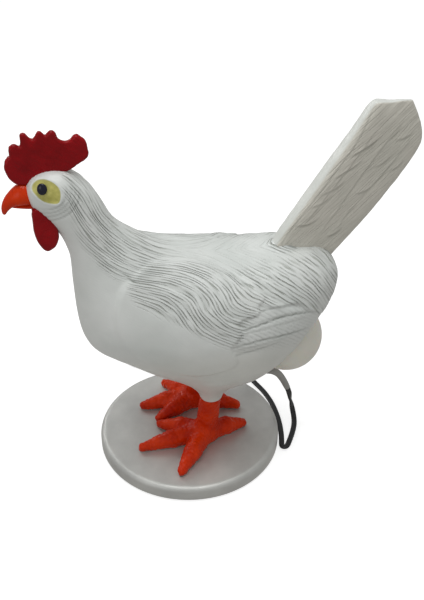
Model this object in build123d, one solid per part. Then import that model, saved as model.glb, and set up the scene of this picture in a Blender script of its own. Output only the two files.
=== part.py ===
"""A hen-shaped night light.

A hollow cast-resin hen stands on a round weighted base. A translucent egg shade screws into a lamp
holder set in the hen's rear, and a flat two-core lead runs from under the tail to an in-line rocker
switch and a USB plug. The hen faces -X, its left side is -Y, +Z is up, and the origin is the middle of
the face that the base pad rests on. All sizes are in millimetres.
"""
from build123d import *
from math import atan2, cos, degrees, pi, radians, sin, sqrt, tan
import os

os.makedirs("parts", exist_ok=True)

# ---------------------------------------------------------------- driving dimensions
PAD_H = 1.0            # non-slip pad under the base
BASE_R = 51.5
BASE_TOP = 9.5         # height of the base's upper face above the table
BASE_EDGE = 2.6        # rounding of the base's upper edge
WALL = 4.5             # thickness of the resin casting
ROD_R = 2.0            # M4 studs through the legs
ROD_GAP = 0.05         # radial clearance of a stud in its hole
STUD_TOP = 62.0
LEG_X, LEG_TOP = 10.0, 41.0
LEG_Y = {"left": -13.0, "right": 16.0}   # the hen stands slightly off the base's middle

EGG_CENTRE = (55.0, 0.0, 67.5)           # middle of the egg's round outer end
EGG_TILT = 42.0                          # how far the egg's axis points below the horizontal, degrees
EGG_R, EGG_WALL = 20.0, 2.1
EGG_SHOULDER = -19.0                     # where the egg's body ends and its neck starts, along its axis
EGG_NECK_R, EGG_NECK_BORE, EGG_NECK_END = 11.0, 9.3, -30.5
SEAL_H = 1.2
FLANGE_R, FLANGE_H = 17.8, 2.2
HOLDER_R, HOLDER_END = 14.5, -36.0
LEDGE_TOP, LEDGE_END, LEDGE_BORE = -31.2, -33.0, 8.8
BOARD_R, BOARD_H = 11.7, 1.6

CORD_D = 3.2           # width of the flat two-core lead
SWITCH_X, SWITCH_Y = 6.0, 68.0
SWITCH_SIZE = (40.0, 15.0, 11.0)
SWITCH_SPLIT = 6.0     # height of the joint between the two halves of the case
SWITCH_WALL = 1.6
ROCKER_TILT = 9.0      # the rocker leans this far either way, degrees
PLUG_X = 52.0
PLUG_BACK_Y, PLUG_BODY, PLUG_SHELL = 102.0, 24.0, 18.75
COIL_CENTRE, COIL_MEAN_R, COIL_WIDE, COIL_HIGH = (2.0, 104.0), 18.0, 10.4, 7.2

# The casting's sections, from the beak to the vent: the point on the back, the point on the throat,
# breast or belly (x, z), and half the width there.
BODY_SECTIONS = [
    ((-77.0, 174.5), (-75.2, 163.5), 4.8),
    ((-73.0, 179.0), (-71.0, 158.0), 9.0),
    ((-64.0, 180.8), (-65.0, 150.0), 11.5),
    ((-54.5, 179.2), (-61.5, 142.0), 12.5),
    ((-47.0, 172.5), (-59.6, 133.0), 13.0),
    ((-41.0, 161.5), (-59.4, 122.0), 14.5),
    ((-35.2, 150.5), (-59.2, 108.0), 18.5),
    ((-26.0, 142.0), (-58.0, 93.0), 24.5),
    ((-15.5, 135.0), (-52.5, 79.5), 30.5),
    ((-3.0, 130.8), (-38.0, 69.5), 35.0),
    ((11.0, 128.0), (-18.0, 57.5), 38.5),
    ((28.0, 127.0), (5.0, 48.0), 40.0),
    ((44.0, 126.5), (27.5, 47.0), 37.5),
    ((58.0, 126.0), (46.0, 56.5), 31.0),
    ((70.0, 123.5), (59.0, 70.0), 23.5),
    ((78.0, 116.5), (69.5, 83.5), 15.5),
    ((81.0, 106.5), (76.0, 94.0), 7.0),
]
HOLLOW = slice(6, 15)  # the sections that the cavity passes through

# The tail's sections, from its root to its tip: leading edge, trailing edge (x, z), half the thickness.
TAIL_SECTIONS = [
    ((42.0, 121.0), (70.0, 104.0), 6.5),
    ((46.8, 132.0), (78.5, 119.0), 7.0),
    ((58.0, 149.8), (91.0, 134.5), 7.0),
    ((69.5, 168.0), (104.0, 152.0), 6.8),
    ((80.5, 185.2), (115.5, 170.0), 6.0),
    ((89.0, 199.0), (119.3, 184.0), 4.8),
    ((92.5, 203.0), (112.0, 202.0), 3.2),
]

UPPER_BEAK_SECTIONS = [
    ((-73.5, 174.6), (-72.5, 166.0), 5.0),
    ((-78.5, 175.0), (-77.2, 165.8), 5.2),
    ((-83.5, 172.2), (-81.5, 165.2), 4.0),
    ((-87.2, 168.0), (-84.6, 163.6), 2.7),
    ((-88.6, 163.6), (-86.4, 161.6), 1.4),
    ((-88.4, 160.9), (-87.6, 160.5), 0.5),
]
LOWER_BEAK_SECTIONS = [
    ((-72.5, 165.8), (-72.0, 162.0), 4.2),
    ((-77.5, 165.6), (-77.0, 162.2), 4.0),
    ((-81.0, 164.9), (-80.7, 162.7), 2.8),
    ((-83.6, 163.9), (-83.4, 163.3), 0.9),
]

# The comb's outline from its front foot over the six points to its heel, then back inside the head.
COMB_OUTLINE = [
    (-80.5, 176.0), (-84.3, 180.0), (-85.0, 185.0), (-83.4, 189.2), (-82.0, 190.5), (-82.0, 193.5),
    (-80.0, 196.0), (-77.2, 194.6), (-76.2, 199.6), (-74.6, 201.2), (-72.6, 198.4), (-70.2, 197.6),
    (-69.2, 200.4), (-67.2, 201.5), (-65.4, 199.6), (-62.4, 200.9), (-60.2, 199.2), (-58.4, 196.4),
    (-54.6, 195.9), (-51.2, 198.2), (-48.4, 196.2), (-46.4, 192.6), (-46.4, 187.4), (-48.8, 183.8),
    (-53.0, 181.4), (-56.0, 177.5), (-66.0, 176.5), (-74.0, 174.0),
]
COMB_HALF = 3.3        # half the comb's thickness

# Each foot: its middle, then the toe tips (x, y), all on the base's upper face.
FEET = {
    "left": ((7.5, -11.0), [(-17.0, 1.5), (-29.5, -15.5), (-11.5, -38.5), (30.0, -6.5)]),
    "right": ((6.5, 20.0), [(-17.0, 6.5), (-24.0, 19.5), (-8.5, 37.0), (30.0, 9.5)]),
}
TOE_ROOT_R, TOE_TIP_R = 4.9, 2.4
ANKLE_Z = 14.5         # height of the middle of the foot
SHANK_R = 5.6

# ---------------------------------------------------------------- helpers


def xz(point, y=0.0):
    """A point given as (x, z) in the hen's middle plane, moved sideways by y."""
    return Vector(point[0], y, point[1])


def ring(back, belly, half_width, squareness=2.3, inset=0.0, lead=0.0):
    """A closed section through two points of the middle plane. lead above 0 thickens the back side."""
    count = 16
    top, bottom = xz(back), xz(belly)
    middle, up = (top + bottom) / 2, (top - bottom).normalized()
    high, wide = (top - bottom).length / 2 - inset, half_width - inset
    points = []
    for k in range(count):
        a = 2 * pi * k / count
        c, s = cos(a), sin(a)
        across = abs(c) ** (2 / squareness) * (1 if c >= 0 else -1)
        along = abs(s) ** (2 / squareness) * (1 if s >= 0 else -1)
        points.append(middle + Vector(0, 1, 0) * (wide * across * (1 + lead * along)) + up * (high * along))
    return Face(Wire(Edge.make_spline(points, periodic=True)))


def skin(sections, **shape):
    """A smooth solid through a list of sections."""
    return Solid.make_loft([ring(*s, **shape).outer_wire() for s in sections])


def turned(points, plane):
    """A solid of revolution about plane's axis. points are (radius, height) corners, or (radius, height,
    radius, height) for an arc through the first pair that ends at the second."""
    edges, last = [], points[-1][-2:]
    for p in points:
        start, end = last, p[-2:]
        a, b = (start[0], 0, start[1]), (end[0], 0, end[1])
        edges.append(Line(a, b) if len(p) == 2 else ThreePointArc(a, (p[0], 0, p[1]), b))
        last = end
    profile = make_face(Wire([e.edge() for e in edges]))
    return plane * revolve(profile, Axis.Z)


def along_axis(direction, origin=(0, 0, 0)):
    return Plane(origin=origin, x_dir=(0, 1, 0), z_dir=direction)


def cylinder(plane, radius, low, high):
    return plane * Pos(0, 0, low) * Cylinder(radius, high - low, align=(Align.CENTER, Align.CENTER, Align.MIN))


def box(low, high):
    size = [h - l for l, h in zip(low, high)]
    return Pos(*low) * Box(*size, align=(Align.MIN, Align.MIN, Align.MIN))


def arc_radii(points):
    """The radius of each corner of a cord's route: as large as its two runs allow."""
    radii = []
    for a, b, c in zip(points, points[1:], points[2:]):
        before, after = b - a, c - b
        turn = radians(before.get_angle(after))
        radii.append(0.45 * min(before.length, after.length) / tan(turn / 2))
    return radii


def tube(name, route, diameter):
    """A round tube along straight runs joined by tangent arcs."""
    points = [Vector(*p) for p in route]
    radii = arc_radii(points)
    path = FilletPolyline(*points, radius=radii)
    start = Plane(origin=path @ 0, z_dir=path % 0)
    made = sweep(start * Circle(diameter / 2), path=path)
    expected = pi * diameter**2 / 4 * path.length
    print(name, "length", round(path.length, 1), "volume/expected", round(made.volume / expected, 4),
          "radii", [round(r, 1) for r in radii])
    return made


def one(shape):
    """The largest solid of a result, so that a boolean's crumbs are dropped."""
    return max(shape.solids(), key=lambda s: s.volume)


def write(name, shape):
    solids = shape.solids()
    export_step(Compound(children=list(solids)) if len(solids) > 1 else solids[0], f"parts/{name}.step")


# ---------------------------------------------------------------- base


def leg_axis(side):
    """The stud's axis: a vertical line through the leg."""
    return Plane(origin=(LEG_X, LEG_Y[side], 0))


NUT_R, NUT_H = 7.0 / sqrt(3), 3.2
WASHER_R, WASHER_H = 4.5, 0.8
WELL_R, WELL_TOP = 6.0, PAD_H + 4.6


def make_base():
    disc = Pos(0, 0, PAD_H) * Cylinder(BASE_R, BASE_TOP - PAD_H, align=(Align.CENTER, Align.CENTER, Align.MIN))
    disc = fillet(disc.edges().filter_by(GeomType.CIRCLE).group_by(Axis.Z)[-1], BASE_EDGE)
    disc = chamfer(disc.edges().filter_by(GeomType.CIRCLE).group_by(Axis.Z)[0], 0.8)
    for side in LEG_Y:
        disc -= cylinder(leg_axis(side), ROD_R + ROD_GAP, 0, BASE_TOP + 1)
        disc -= cylinder(leg_axis(side), WELL_R, 0, WELL_TOP)
    return disc


def make_pad():
    return Cylinder(BASE_R - 3.0, PAD_H, align=(Align.CENTER, Align.CENTER, Align.MIN))


def make_nuts():
    nuts, bottom = [], WELL_TOP - WASHER_H - NUT_H
    for side in LEG_Y:
        nut = leg_axis(side) * Pos(0, 0, bottom) * extrude(RegularPolygon(NUT_R, 6), NUT_H)
        nuts.append(nut - cylinder(leg_axis(side), ROD_R + ROD_GAP, 0, WELL_TOP))
    return Compound(children=[one(n) for n in nuts])


def make_washers():
    washers = []
    for side in LEG_Y:
        washer = cylinder(leg_axis(side), WASHER_R, WELL_TOP - WASHER_H, WELL_TOP)
        washers.append(washer - cylinder(leg_axis(side), ROD_R + 0.15, 0, WELL_TOP + 1))
    return Compound(children=[one(w) for w in washers])


def make_stud(side):
    return cylinder(leg_axis(side), ROD_R, PAD_H + 0.1, STUD_TOP)


# ---------------------------------------------------------------- legs


def toe(root, tip):
    """A tapering toe with a rounded tip, from the middle of the foot outwards."""
    a = Vector(*root, ANKLE_Z - 0.6)
    b = Vector(*tip, BASE_TOP + 2.0)
    reach = (b - a).length - TOE_TIP_R
    side = sqrt(0.5)
    return turned([
        (0, 0),
        (TOE_ROOT_R - 0.4, 0),
        (TOE_ROOT_R * 0.86, 0.55 * reach),
        (TOE_TIP_R, reach),
        (TOE_TIP_R * side, reach + TOE_TIP_R * side, 0, reach + TOE_TIP_R),
    ], along_axis((b - a).normalized(), a))


def make_leg(side):
    middle, tips = FEET[side]
    foot = Pos(*middle, ANKLE_Z - 0.4) * Sphere(TOE_ROOT_R + 0.7)
    for tip in tips:
        foot += toe(middle, tip)
    low = Vector(*middle, ANKLE_Z - 1)
    high = Vector(LEG_X, LEG_Y[side], LEG_TOP)
    shank = turned([
        (0, 0), (SHANK_R + 0.8, 0), (SHANK_R, 9.0), (SHANK_R, (high - low).length), (0, (high - low).length),
    ], along_axis((high - low).normalized(), low))
    leg = foot + shank
    leg = leg & box((-60, -60, BASE_TOP), (60, 60, LEG_TOP - 1.0))
    return one(leg - cylinder(leg_axis(side), ROD_R + ROD_GAP, 0, STUD_TOP))


# ---------------------------------------------------------------- egg and lamp holder

EGG_DIR = Vector(cos(radians(EGG_TILT)), 0, -sin(radians(EGG_TILT)))
EGG_AXIS = along_axis(EGG_DIR, EGG_CENTRE)
SHOULDER_R = 14.5
# The egg's inner half is an arc whose centre lies on the far side of the axis.
WAIST_R = (EGG_SHOULDER**2 + (EGG_R - SHOULDER_R) ** 2) / (2 * (EGG_R - SHOULDER_R))


def waist(height, wall=0.0):
    """The egg's radius at a height below its middle, less the wall."""
    return sqrt((WAIST_R - wall) ** 2 - height**2) - (WAIST_R - EGG_R)


def make_egg():
    inner = EGG_R - EGG_WALL
    side, mid = sqrt(0.5), EGG_SHOULDER / 2
    roof = EGG_SHOULDER + EGG_WALL
    return turned([
        (0, EGG_R),
        (EGG_R * side, EGG_R * side, EGG_R, 0),
        (waist(mid), mid, SHOULDER_R, EGG_SHOULDER),
        (EGG_NECK_R, EGG_SHOULDER),
        (EGG_NECK_R, EGG_NECK_END),
        (EGG_NECK_BORE, EGG_NECK_END),
        (EGG_NECK_BORE, roof),
        (waist(roof, EGG_WALL), roof),
        (waist(mid, EGG_WALL), mid, inner, 0),
        (inner * side, inner * side, 0, inner),
    ], EGG_AXIS)


SEAL_TOP = EGG_SHOULDER - 0.05
FLANGE_TOP = SEAL_TOP - SEAL_H - 0.05
SCREW_AT = 15.9
SCREW_R, SCREW_HEAD_R = 0.9, 1.7
SCREW_SIDES = (-1, 1)


def make_seal():
    return cylinder(EGG_AXIS, 13.6, SEAL_TOP - SEAL_H, SEAL_TOP) - cylinder(
        EGG_AXIS, EGG_NECK_R + 0.35, SEAL_TOP - 2, SEAL_TOP + 1)


def make_holder():
    holder = cylinder(EGG_AXIS, HOLDER_R, HOLDER_END, FLANGE_TOP)
    holder += cylinder(EGG_AXIS, FLANGE_R, FLANGE_TOP - FLANGE_H, FLANGE_TOP)
    holder -= cylinder(EGG_AXIS, EGG_NECK_R + 0.1, LEDGE_TOP, FLANGE_TOP + 1)
    holder -= cylinder(EGG_AXIS, LEDGE_BORE, HOLDER_END - 1, FLANGE_TOP)
    holder -= cylinder(EGG_AXIS, BOARD_R + 0.15, HOLDER_END - 1, LEDGE_END)
    for s in SCREW_SIDES:
        spot = EGG_AXIS * Pos(s * SCREW_AT, 0, 0)
        holder -= cylinder(Plane(spot), SCREW_R + 0.1, FLANGE_TOP - 5, FLANGE_TOP)
        holder -= cylinder(Plane(spot), SCREW_HEAD_R + 0.1, FLANGE_TOP - 1.2, FLANGE_TOP + 1)
        pilot = EGG_AXIS * Pos(0, s * BOARD_SCREW_AT, 0)
        holder -= cylinder(Plane(pilot), 0.65, HOLDER_END - 1, LEDGE_TOP - 0.3)
    return one(holder)


BOARD_SCREW_AT = 10.3
BOARD_TOP = LEDGE_END - 0.02


def make_holder_screws():
    screws = []
    for s in SCREW_SIDES:
        spot = Plane(EGG_AXIS * Pos(s * SCREW_AT, 0, 0))
        screw = cylinder(spot, SCREW_R, FLANGE_TOP - 7.5, FLANGE_TOP - 0.2)
        screws.append(screw + cylinder(spot, SCREW_HEAD_R, FLANGE_TOP - 1.2, FLANGE_TOP - 0.2))
    return Compound(children=[one(s) for s in screws])


def make_board():
    board = cylinder(EGG_AXIS, BOARD_R, BOARD_TOP - BOARD_H, BOARD_TOP)
    for s in SCREW_SIDES:
        board -= cylinder(Plane(EGG_AXIS * Pos(0, s * BOARD_SCREW_AT, 0)), 0.85, HOLDER_END, LEDGE_TOP)
    return board


def make_board_screws():
    screws, back = [], BOARD_TOP - BOARD_H
    for s in SCREW_SIDES:
        spot = Plane(EGG_AXIS * Pos(0, s * BOARD_SCREW_AT, 0))
        screw = cylinder(spot, 0.6, back - 0.02, LEDGE_TOP - 0.4)
        screws.append(screw + cylinder(spot, 1.2, back - 0.9, back - 0.02))
    return Compound(children=[one(s) for s in screws])


def make_leds():
    """Six light-emitting diodes in a ring on the board."""
    made, ring_r, size = [], 5.0, (2.8, 3.5, 0.9)
    for k in range(6):
        spot = EGG_AXIS * Rot(0, 0, 60 * k) * Pos(ring_r, 0, BOARD_TOP + 0.01)
        made.append(spot * Box(*size, align=(Align.CENTER, Align.CENTER, Align.MIN)))
    return Compound(children=[one(m) for m in made])


# ---------------------------------------------------------------- the hen's castings

POCKET_GAP = 1.3
POCKET_R = EGG_R + POCKET_GAP
CUP_FLOOR = FLANGE_TOP - FLANGE_H - 3.4


def pocket(grow=0.0):
    """The hollow that the egg nests in, down to the lamp holder's seat. grow thickens it into a cup."""
    r, floor = POCKET_R + grow, FLANGE_TOP - FLANGE_H - 0.02 - (3.4 if grow else 0.0)
    seat = FLANGE_R + 0.3 + grow
    return turned([(0, floor), (seat, floor), (seat, EGG_SHOULDER), (r, -7.0), (r, 45.0), (0, 45.0)], EGG_AXIS)


GLAND_AT = Vector(33.0, 0, 48.6)
GLAND_DIR = Vector(cos(radians(26)), 0, -sin(radians(26)))
GLAND = along_axis(GLAND_DIR, GLAND_AT)
GLAND_R, GLAND_FLANGE_R = 3.4, 4.6


def thigh(side):
    """The feathered thigh that the leg goes into."""
    top = Vector(LEG_X - 1, LEG_Y[side] * 1.1, 68)
    low = Vector(LEG_X, LEG_Y[side], LEG_TOP - 1.0)
    height = (top - low).length
    made = turned([(0, -3.0), (7.4, -3.0), (14.5, 13.0), (16.0, height), (0, height)],
                  along_axis((top - low).normalized(), low))
    return made & box((-60, -60, LEG_TOP - 1.0), (60, 60, 90))


def make_tail():
    return skin(TAIL_SECTIONS, squareness=2.2, lead=0.22)


def make_comb():
    outline = Spline(*[xz(p) for p in COMB_OUTLINE], periodic=True)
    face = make_face(Wire([outline.edge()]))
    return extrude(face, COMB_HALF, both=True)


def make_wattle(side):
    """A flat drop that hangs from the throat."""
    spot = Pos(-70.0, side * 6.8, 153.0) * Rot(0, 8, 0) * Rot(side * 6, 0, 0)
    return spot * scale(Sphere(1.0), by=(6.0, 2.5, 11.0))


EYE_AT, EYE_R = (-67.6, 9.6, 176.6), 2.3


def make_eye(side):
    return Pos(EYE_AT[0], side * EYE_AT[1], EYE_AT[2]) * Rot(90, 0, 0) * Sphere(EYE_R)


def make_body(fitted):
    """The hollow casting of the head, neck and body, with seats for every piece that is fitted into it."""
    outer = skin(BODY_SECTIONS)
    for side in LEG_Y:
        outer = outer + thigh(side)
    cavity = skin(BODY_SECTIONS[HOLLOW], inset=WALL)
    barrel = cylinder(EGG_AXIS, HOLDER_R + 3.5, HOLDER_END + 1.0, 0)
    keep = pocket(grow=3.4) + barrel
    for side in LEG_Y:
        keep += cylinder(leg_axis(side), ROD_R + 4.5, LEG_TOP, STUD_TOP + 3)
    body = outer - (cavity - keep)
    body -= pocket()
    body -= cylinder(EGG_AXIS, HOLDER_R + 0.05, HOLDER_END - 1, 0)
    for s in SCREW_SIDES:
        body -= cylinder(Plane(EGG_AXIS * Pos(s * SCREW_AT, 0, 0)), SCREW_R + 0.02, FLANGE_TOP - 8.0, FLANGE_TOP)
    for side in LEG_Y:
        body -= cylinder(leg_axis(side), ROD_R + ROD_GAP, 0, STUD_TOP + 0.5)
    body -= cylinder(GLAND, GLAND_R + 0.05, -16, 6)
    for piece in fitted:
        body -= piece
    return one(body)


# ---------------------------------------------------------------- cord, gland and strain relief


def make_gland():
    gland = cylinder(GLAND, GLAND_R, -9.0, 0.6) + cylinder(GLAND, GLAND_FLANGE_R, 0.6, 2.2)
    return gland - cylinder(GLAND, CORD_D / 2 + 0.02, -10, 3)


RELIEF_ROUTE = [
    tuple(GLAND_AT + GLAND_DIR * 2.2), tuple(GLAND_AT + GLAND_DIR * 11.0), (49.9, 0.6, 41.6), (54.9, 1.2, 35.2),
    (58.4, 1.9, 26.4),
]
LEAD_ROUTE = [
    RELIEF_ROUTE[-1], (59.8, 2.18, 22.88), (61.6, 4.2, 14.2), (63.5, 5.6, 6.6), (63.9, 2.0, 2.0), (62.5, -3.6, 1.7),
    (59.6, -10.2, 1.7), (55.9, -16.8, 1.7), (53.1, -21.4, 1.7), (50.2, -20.6, 1.7), (51.7, -15.2, 1.7),
    (53.3, -7.4, 1.7), (54.3, 1.0, 1.7), (54.5, 9.8, 1.7), (53.9, 19.4, 1.7), (51.8, 29.4, 1.7), (47.6, 40.0, 1.7),
    (45.0, 50.6, 1.7), (40.6, 60.8, 1.9), (34.4, 68.0, 4.2), (26.0, 68.0, 4.2),
]
LINK_ROUTE = [
    (-14.0, 68.0, 4.2), (-19.6, 68.0, 4.2), (-25.4, 72.0, 2.2), (-27.8, 79.0, 1.7), (-27.4, 87.6, 1.7),
    (-24.6, 95.6, 1.9), (-20.2, 101.4, 2.2),
]
TAIL_ROUTE = [
    (7.0, 125.6, 3.6), (14.6, 127.0, 2.6), (24.4, 126.8, 1.8), (35.0, 124.6, 1.7), (44.2, 120.2, 1.9),
    (50.2, 114.0, 2.9), (52.0, 107.4, 4.1), (52.0, 102.0, 4.1),
]


def make_relief():
    """A soft tapering sleeve from the gland to where the lead hangs free."""
    path = FilletPolyline(*[Vector(*p) for p in RELIEF_ROUTE],
                          radius=arc_radii([Vector(*p) for p in RELIEF_ROUTE]))
    first = Plane(origin=path @ 0, z_dir=path % 0)
    return sweep(first * Circle(2.35), path=path)


def make_inner_lead():
    """The lead inside the hen, from the gland up to the back of the board."""
    board_back = Vector(*EGG_CENTRE) + EGG_DIR * (BOARD_TOP - BOARD_H - 1.6)
    route = [GLAND_AT - GLAND_DIR * 9.0, Vector(19.0, 0.4, 57.0), Vector(12.5, 1.0, 70.0), Vector(11.0, 1.2, 84.0),
             Vector(15.0, 0.8, 96.5), board_back - EGG_DIR * 6.0, board_back + Vector(0, 0.3, 0)]
    return tube("inner_lead", [tuple(p) for p in route], CORD_D)


TIE_WALL, TIE_WIDE = 0.8, 6.0


def tie_ring(half_length, outset):
    """The block that the strap's loop would fill, at the side of the coil nearest the plug."""
    at = Pos(COIL_CENTRE[0] + COIL_MEAN_R, COIL_CENTRE[1], COIL_HIGH / 2)
    return at * Box(COIL_WIDE + 2 * outset, 2 * half_length, COIL_HIGH + 2 * outset)


def make_coil(ends):
    """The outer shape of the put-away turns, pinched where the strap goes round them."""
    at = Pos(*COIL_CENTRE, 0)
    outer, inner = COIL_MEAN_R + COIL_WIDE / 2, COIL_MEAN_R - COIL_WIDE / 2
    up = (Align.CENTER, Align.CENTER, Align.MIN)
    coil = at * Cylinder(outer, COIL_HIGH, align=up) - at * Cylinder(inner, COIL_HIGH, align=up)
    coil = fillet(coil.edges().filter_by(GeomType.CIRCLE), 1.5)
    core = coil & tie_ring(TIE_WIDE / 2 + 0.2, -TIE_WALL - 0.05)
    coil = coil - tie_ring(TIE_WIDE / 2 + 0.05, 1.0) + core
    for end in ends:
        coil -= end
    return one(coil)


def make_tie():
    return one(tie_ring(TIE_WIDE / 2, 0) - tie_ring(TIE_WIDE, -TIE_WALL))


# ---------------------------------------------------------------- in-line switch

SWITCH_FLOOR = 0.2
SWITCH_TOP = SWITCH_FLOOR + SWITCH_SIZE[2]
ROCKER_SIZE = (13.0, 7.6)
PIN_Z, PIN_R = 8.0, 0.8


def switch_block(low, high):
    """A slab of the case's rounded plan between two heights."""
    plan = RectangleRounded(SWITCH_SIZE[0], SWITCH_SIZE[1], 4.0)
    return Pos(SWITCH_X, SWITCH_Y, low) * extrude(plan, high - low)


def switch_room(low, high):
    plan = RectangleRounded(SWITCH_SIZE[0] - 2 * SWITCH_WALL, SWITCH_SIZE[1] - 2 * SWITCH_WALL, 2.6)
    return Pos(SWITCH_X, SWITCH_Y, low) * extrude(plan, high - low)


SWITCH_SCREWS = (-14.0, 14.0)


def screw_axis(x):
    return Plane(origin=(SWITCH_X + x, SWITCH_Y, 0))


def make_switch_lower():
    case = switch_block(SWITCH_FLOOR, SWITCH_SPLIT) - switch_room(SWITCH_FLOOR + SWITCH_WALL, SWITCH_SPLIT + 1)
    for x in SWITCH_SCREWS:
        case += cylinder(screw_axis(x), 2.4, SWITCH_FLOOR + 1, SWITCH_SPLIT)
        case -= cylinder(screw_axis(x), 1.1, 0, SWITCH_SPLIT + 1)
        case -= cylinder(screw_axis(x), 2.0, 0, SWITCH_FLOOR + 1.4)
    return one(case)


def make_switch_upper():
    case = switch_block(SWITCH_SPLIT + 0.02, SWITCH_TOP)
    case = fillet(case.edges().group_by(Axis.Z)[-1], 2.0)
    case -= switch_room(SWITCH_SPLIT - 1, SWITCH_TOP - SWITCH_WALL)
    opening = (ROCKER_SIZE[0] + 1.4, ROCKER_SIZE[1] + 0.6)
    case -= Pos(SWITCH_X, SWITCH_Y, SWITCH_TOP - 2) * Box(*opening, 6)
    for y in (-1, 1):
        cheek = Pos(SWITCH_X, SWITCH_Y + y * (ROCKER_SIZE[1] / 2 + 0.9), 8.2) * Box(6, 1.2, 4.0)
        case += cheek
    case -= cylinder(Plane(origin=(SWITCH_X, SWITCH_Y, PIN_Z), x_dir=(1, 0, 0), z_dir=(0, 1, 0)),
                     PIN_R + 0.02, -5.4, 5.4)
    for x in SWITCH_SCREWS:
        case += cylinder(screw_axis(x), 2.4, SWITCH_SPLIT + 0.02, SWITCH_TOP - 1)
        case -= cylinder(screw_axis(x), 0.82, 0, SWITCH_TOP - 2.0)
    return one(case)


def make_switch_screws():
    screws = []
    for x in SWITCH_SCREWS:
        screw = cylinder(screw_axis(x), 0.8, SWITCH_FLOOR + 0.3, SWITCH_TOP - 2.4)
        screws.append(screw + cylinder(screw_axis(x), 1.8, SWITCH_FLOOR + 0.2, SWITCH_FLOOR + 1.4))
    return Compound(children=[one(s) for s in screws])


def make_rocker():
    """The rocker stands at its off end: tilted about its pin."""
    long, wide = ROCKER_SIZE
    cap = Pos(0, 0, 2.7) * Box(long, wide, 2.6)
    cap = fillet(cap.edges().filter_by(Axis.Y).group_by(Axis.Z)[-1], 0.8)
    hub = Plane(origin=(0, 0, 0), x_dir=(1, 0, 0), z_dir=(0, 1, 0)) * Cylinder(2.0, wide - 1.0)
    rocker = cap + hub + Pos(0, 0, 1.0) * Box(3.6, wide - 1.0, 2.0)
    rocker -= Plane(origin=(0, 0, 0), x_dir=(1, 0, 0), z_dir=(0, 1, 0)) * Cylinder(PIN_R + 0.04, 20)
    return one(Pos(SWITCH_X, SWITCH_Y, PIN_Z) * Rot(0, -ROCKER_TILT, 0) * rocker)


def make_rocker_pin():
    return cylinder(Plane(origin=(SWITCH_X, SWITCH_Y, PIN_Z), x_dir=(1, 0, 0), z_dir=(0, 1, 0)), PIN_R, -5.3, 5.3)


def make_contacts():
    """Two brass leaves under the rocker's ends."""
    leaves = []
    for x in (-1, 1):
        foot = Pos(SWITCH_X + x * 7.4, SWITCH_Y, SWITCH_FLOOR + SWITCH_WALL + 0.25) * Box(6.0, 5.0, 0.5)
        post = Pos(SWITCH_X + x * 9.9, SWITCH_Y, SWITCH_FLOOR + SWITCH_WALL + 1.2) * Box(1.0, 5.0, 2.4)
        leaves.append(one(foot + post))
    return Compound(children=leaves)


# ---------------------------------------------------------------- USB plug

PLUG_Z = 4.1
PLUG_FRONT_Y = PLUG_BACK_Y - PLUG_BODY
SHELL_WIDE, SHELL_HIGH, SHELL_WALL = 12.0, 4.5, 0.35


def plug_block(wide, high, y_low, y_high, corner):
    plane = Plane(origin=(PLUG_X, y_low, PLUG_Z), x_dir=(1, 0, 0), z_dir=(0, 1, 0))
    return plane * extrude(RectangleRounded(wide, high, corner), y_high - y_low)


def make_plug_body():
    return plug_block(14.4, 7.4, PLUG_FRONT_Y, PLUG_BACK_Y, 2.2) - make_plug_shell_blank()


def make_plug_shell_blank():
    return plug_block(SHELL_WIDE, SHELL_HIGH, PLUG_FRONT_Y - PLUG_SHELL, PLUG_FRONT_Y + 6.0, 0.8)


def make_plug_shell():
    inside = plug_block(SHELL_WIDE - 2 * SHELL_WALL, SHELL_HIGH - 2 * SHELL_WALL,
                        PLUG_FRONT_Y - PLUG_SHELL - 1, PLUG_FRONT_Y + 5.6, 0.5)
    shell = make_plug_shell_blank() - inside
    for x in (-3.1, 3.1):
        window = Pos(PLUG_X + x, PLUG_FRONT_Y - PLUG_SHELL + 6.4, PLUG_Z + SHELL_HIGH / 2) * Box(2.4, 2.4, 1.2)
        shell -= window
    return one(shell)


TONGUE_HIGH = 1.84
TONGUE_Z = PLUG_Z - SHELL_HIGH / 2 + SHELL_WALL + TONGUE_HIGH / 2 + 0.01


def make_plug_tongue():
    low = PLUG_FRONT_Y - PLUG_SHELL + 0.5
    return Pos(PLUG_X, (low + PLUG_FRONT_Y + 5.5) / 2, TONGUE_Z) * Box(10.4, PLUG_FRONT_Y + 5.5 - low, TONGUE_HIGH)


def make_plug_contacts():
    """Four gold strips on the tongue."""
    strips = []
    for x in (-3.5, -1.0, 1.0, 3.5):
        strip = Box(1.0, 7.6, 0.18)
        strips.append(Pos(PLUG_X + x, PLUG_FRONT_Y - PLUG_SHELL + 5.6, TONGUE_Z + TONGUE_HIGH / 2 + 0.1) * strip)
    return Compound(children=[one(s) for s in strips])


# ---------------------------------------------------------------- build


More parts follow.
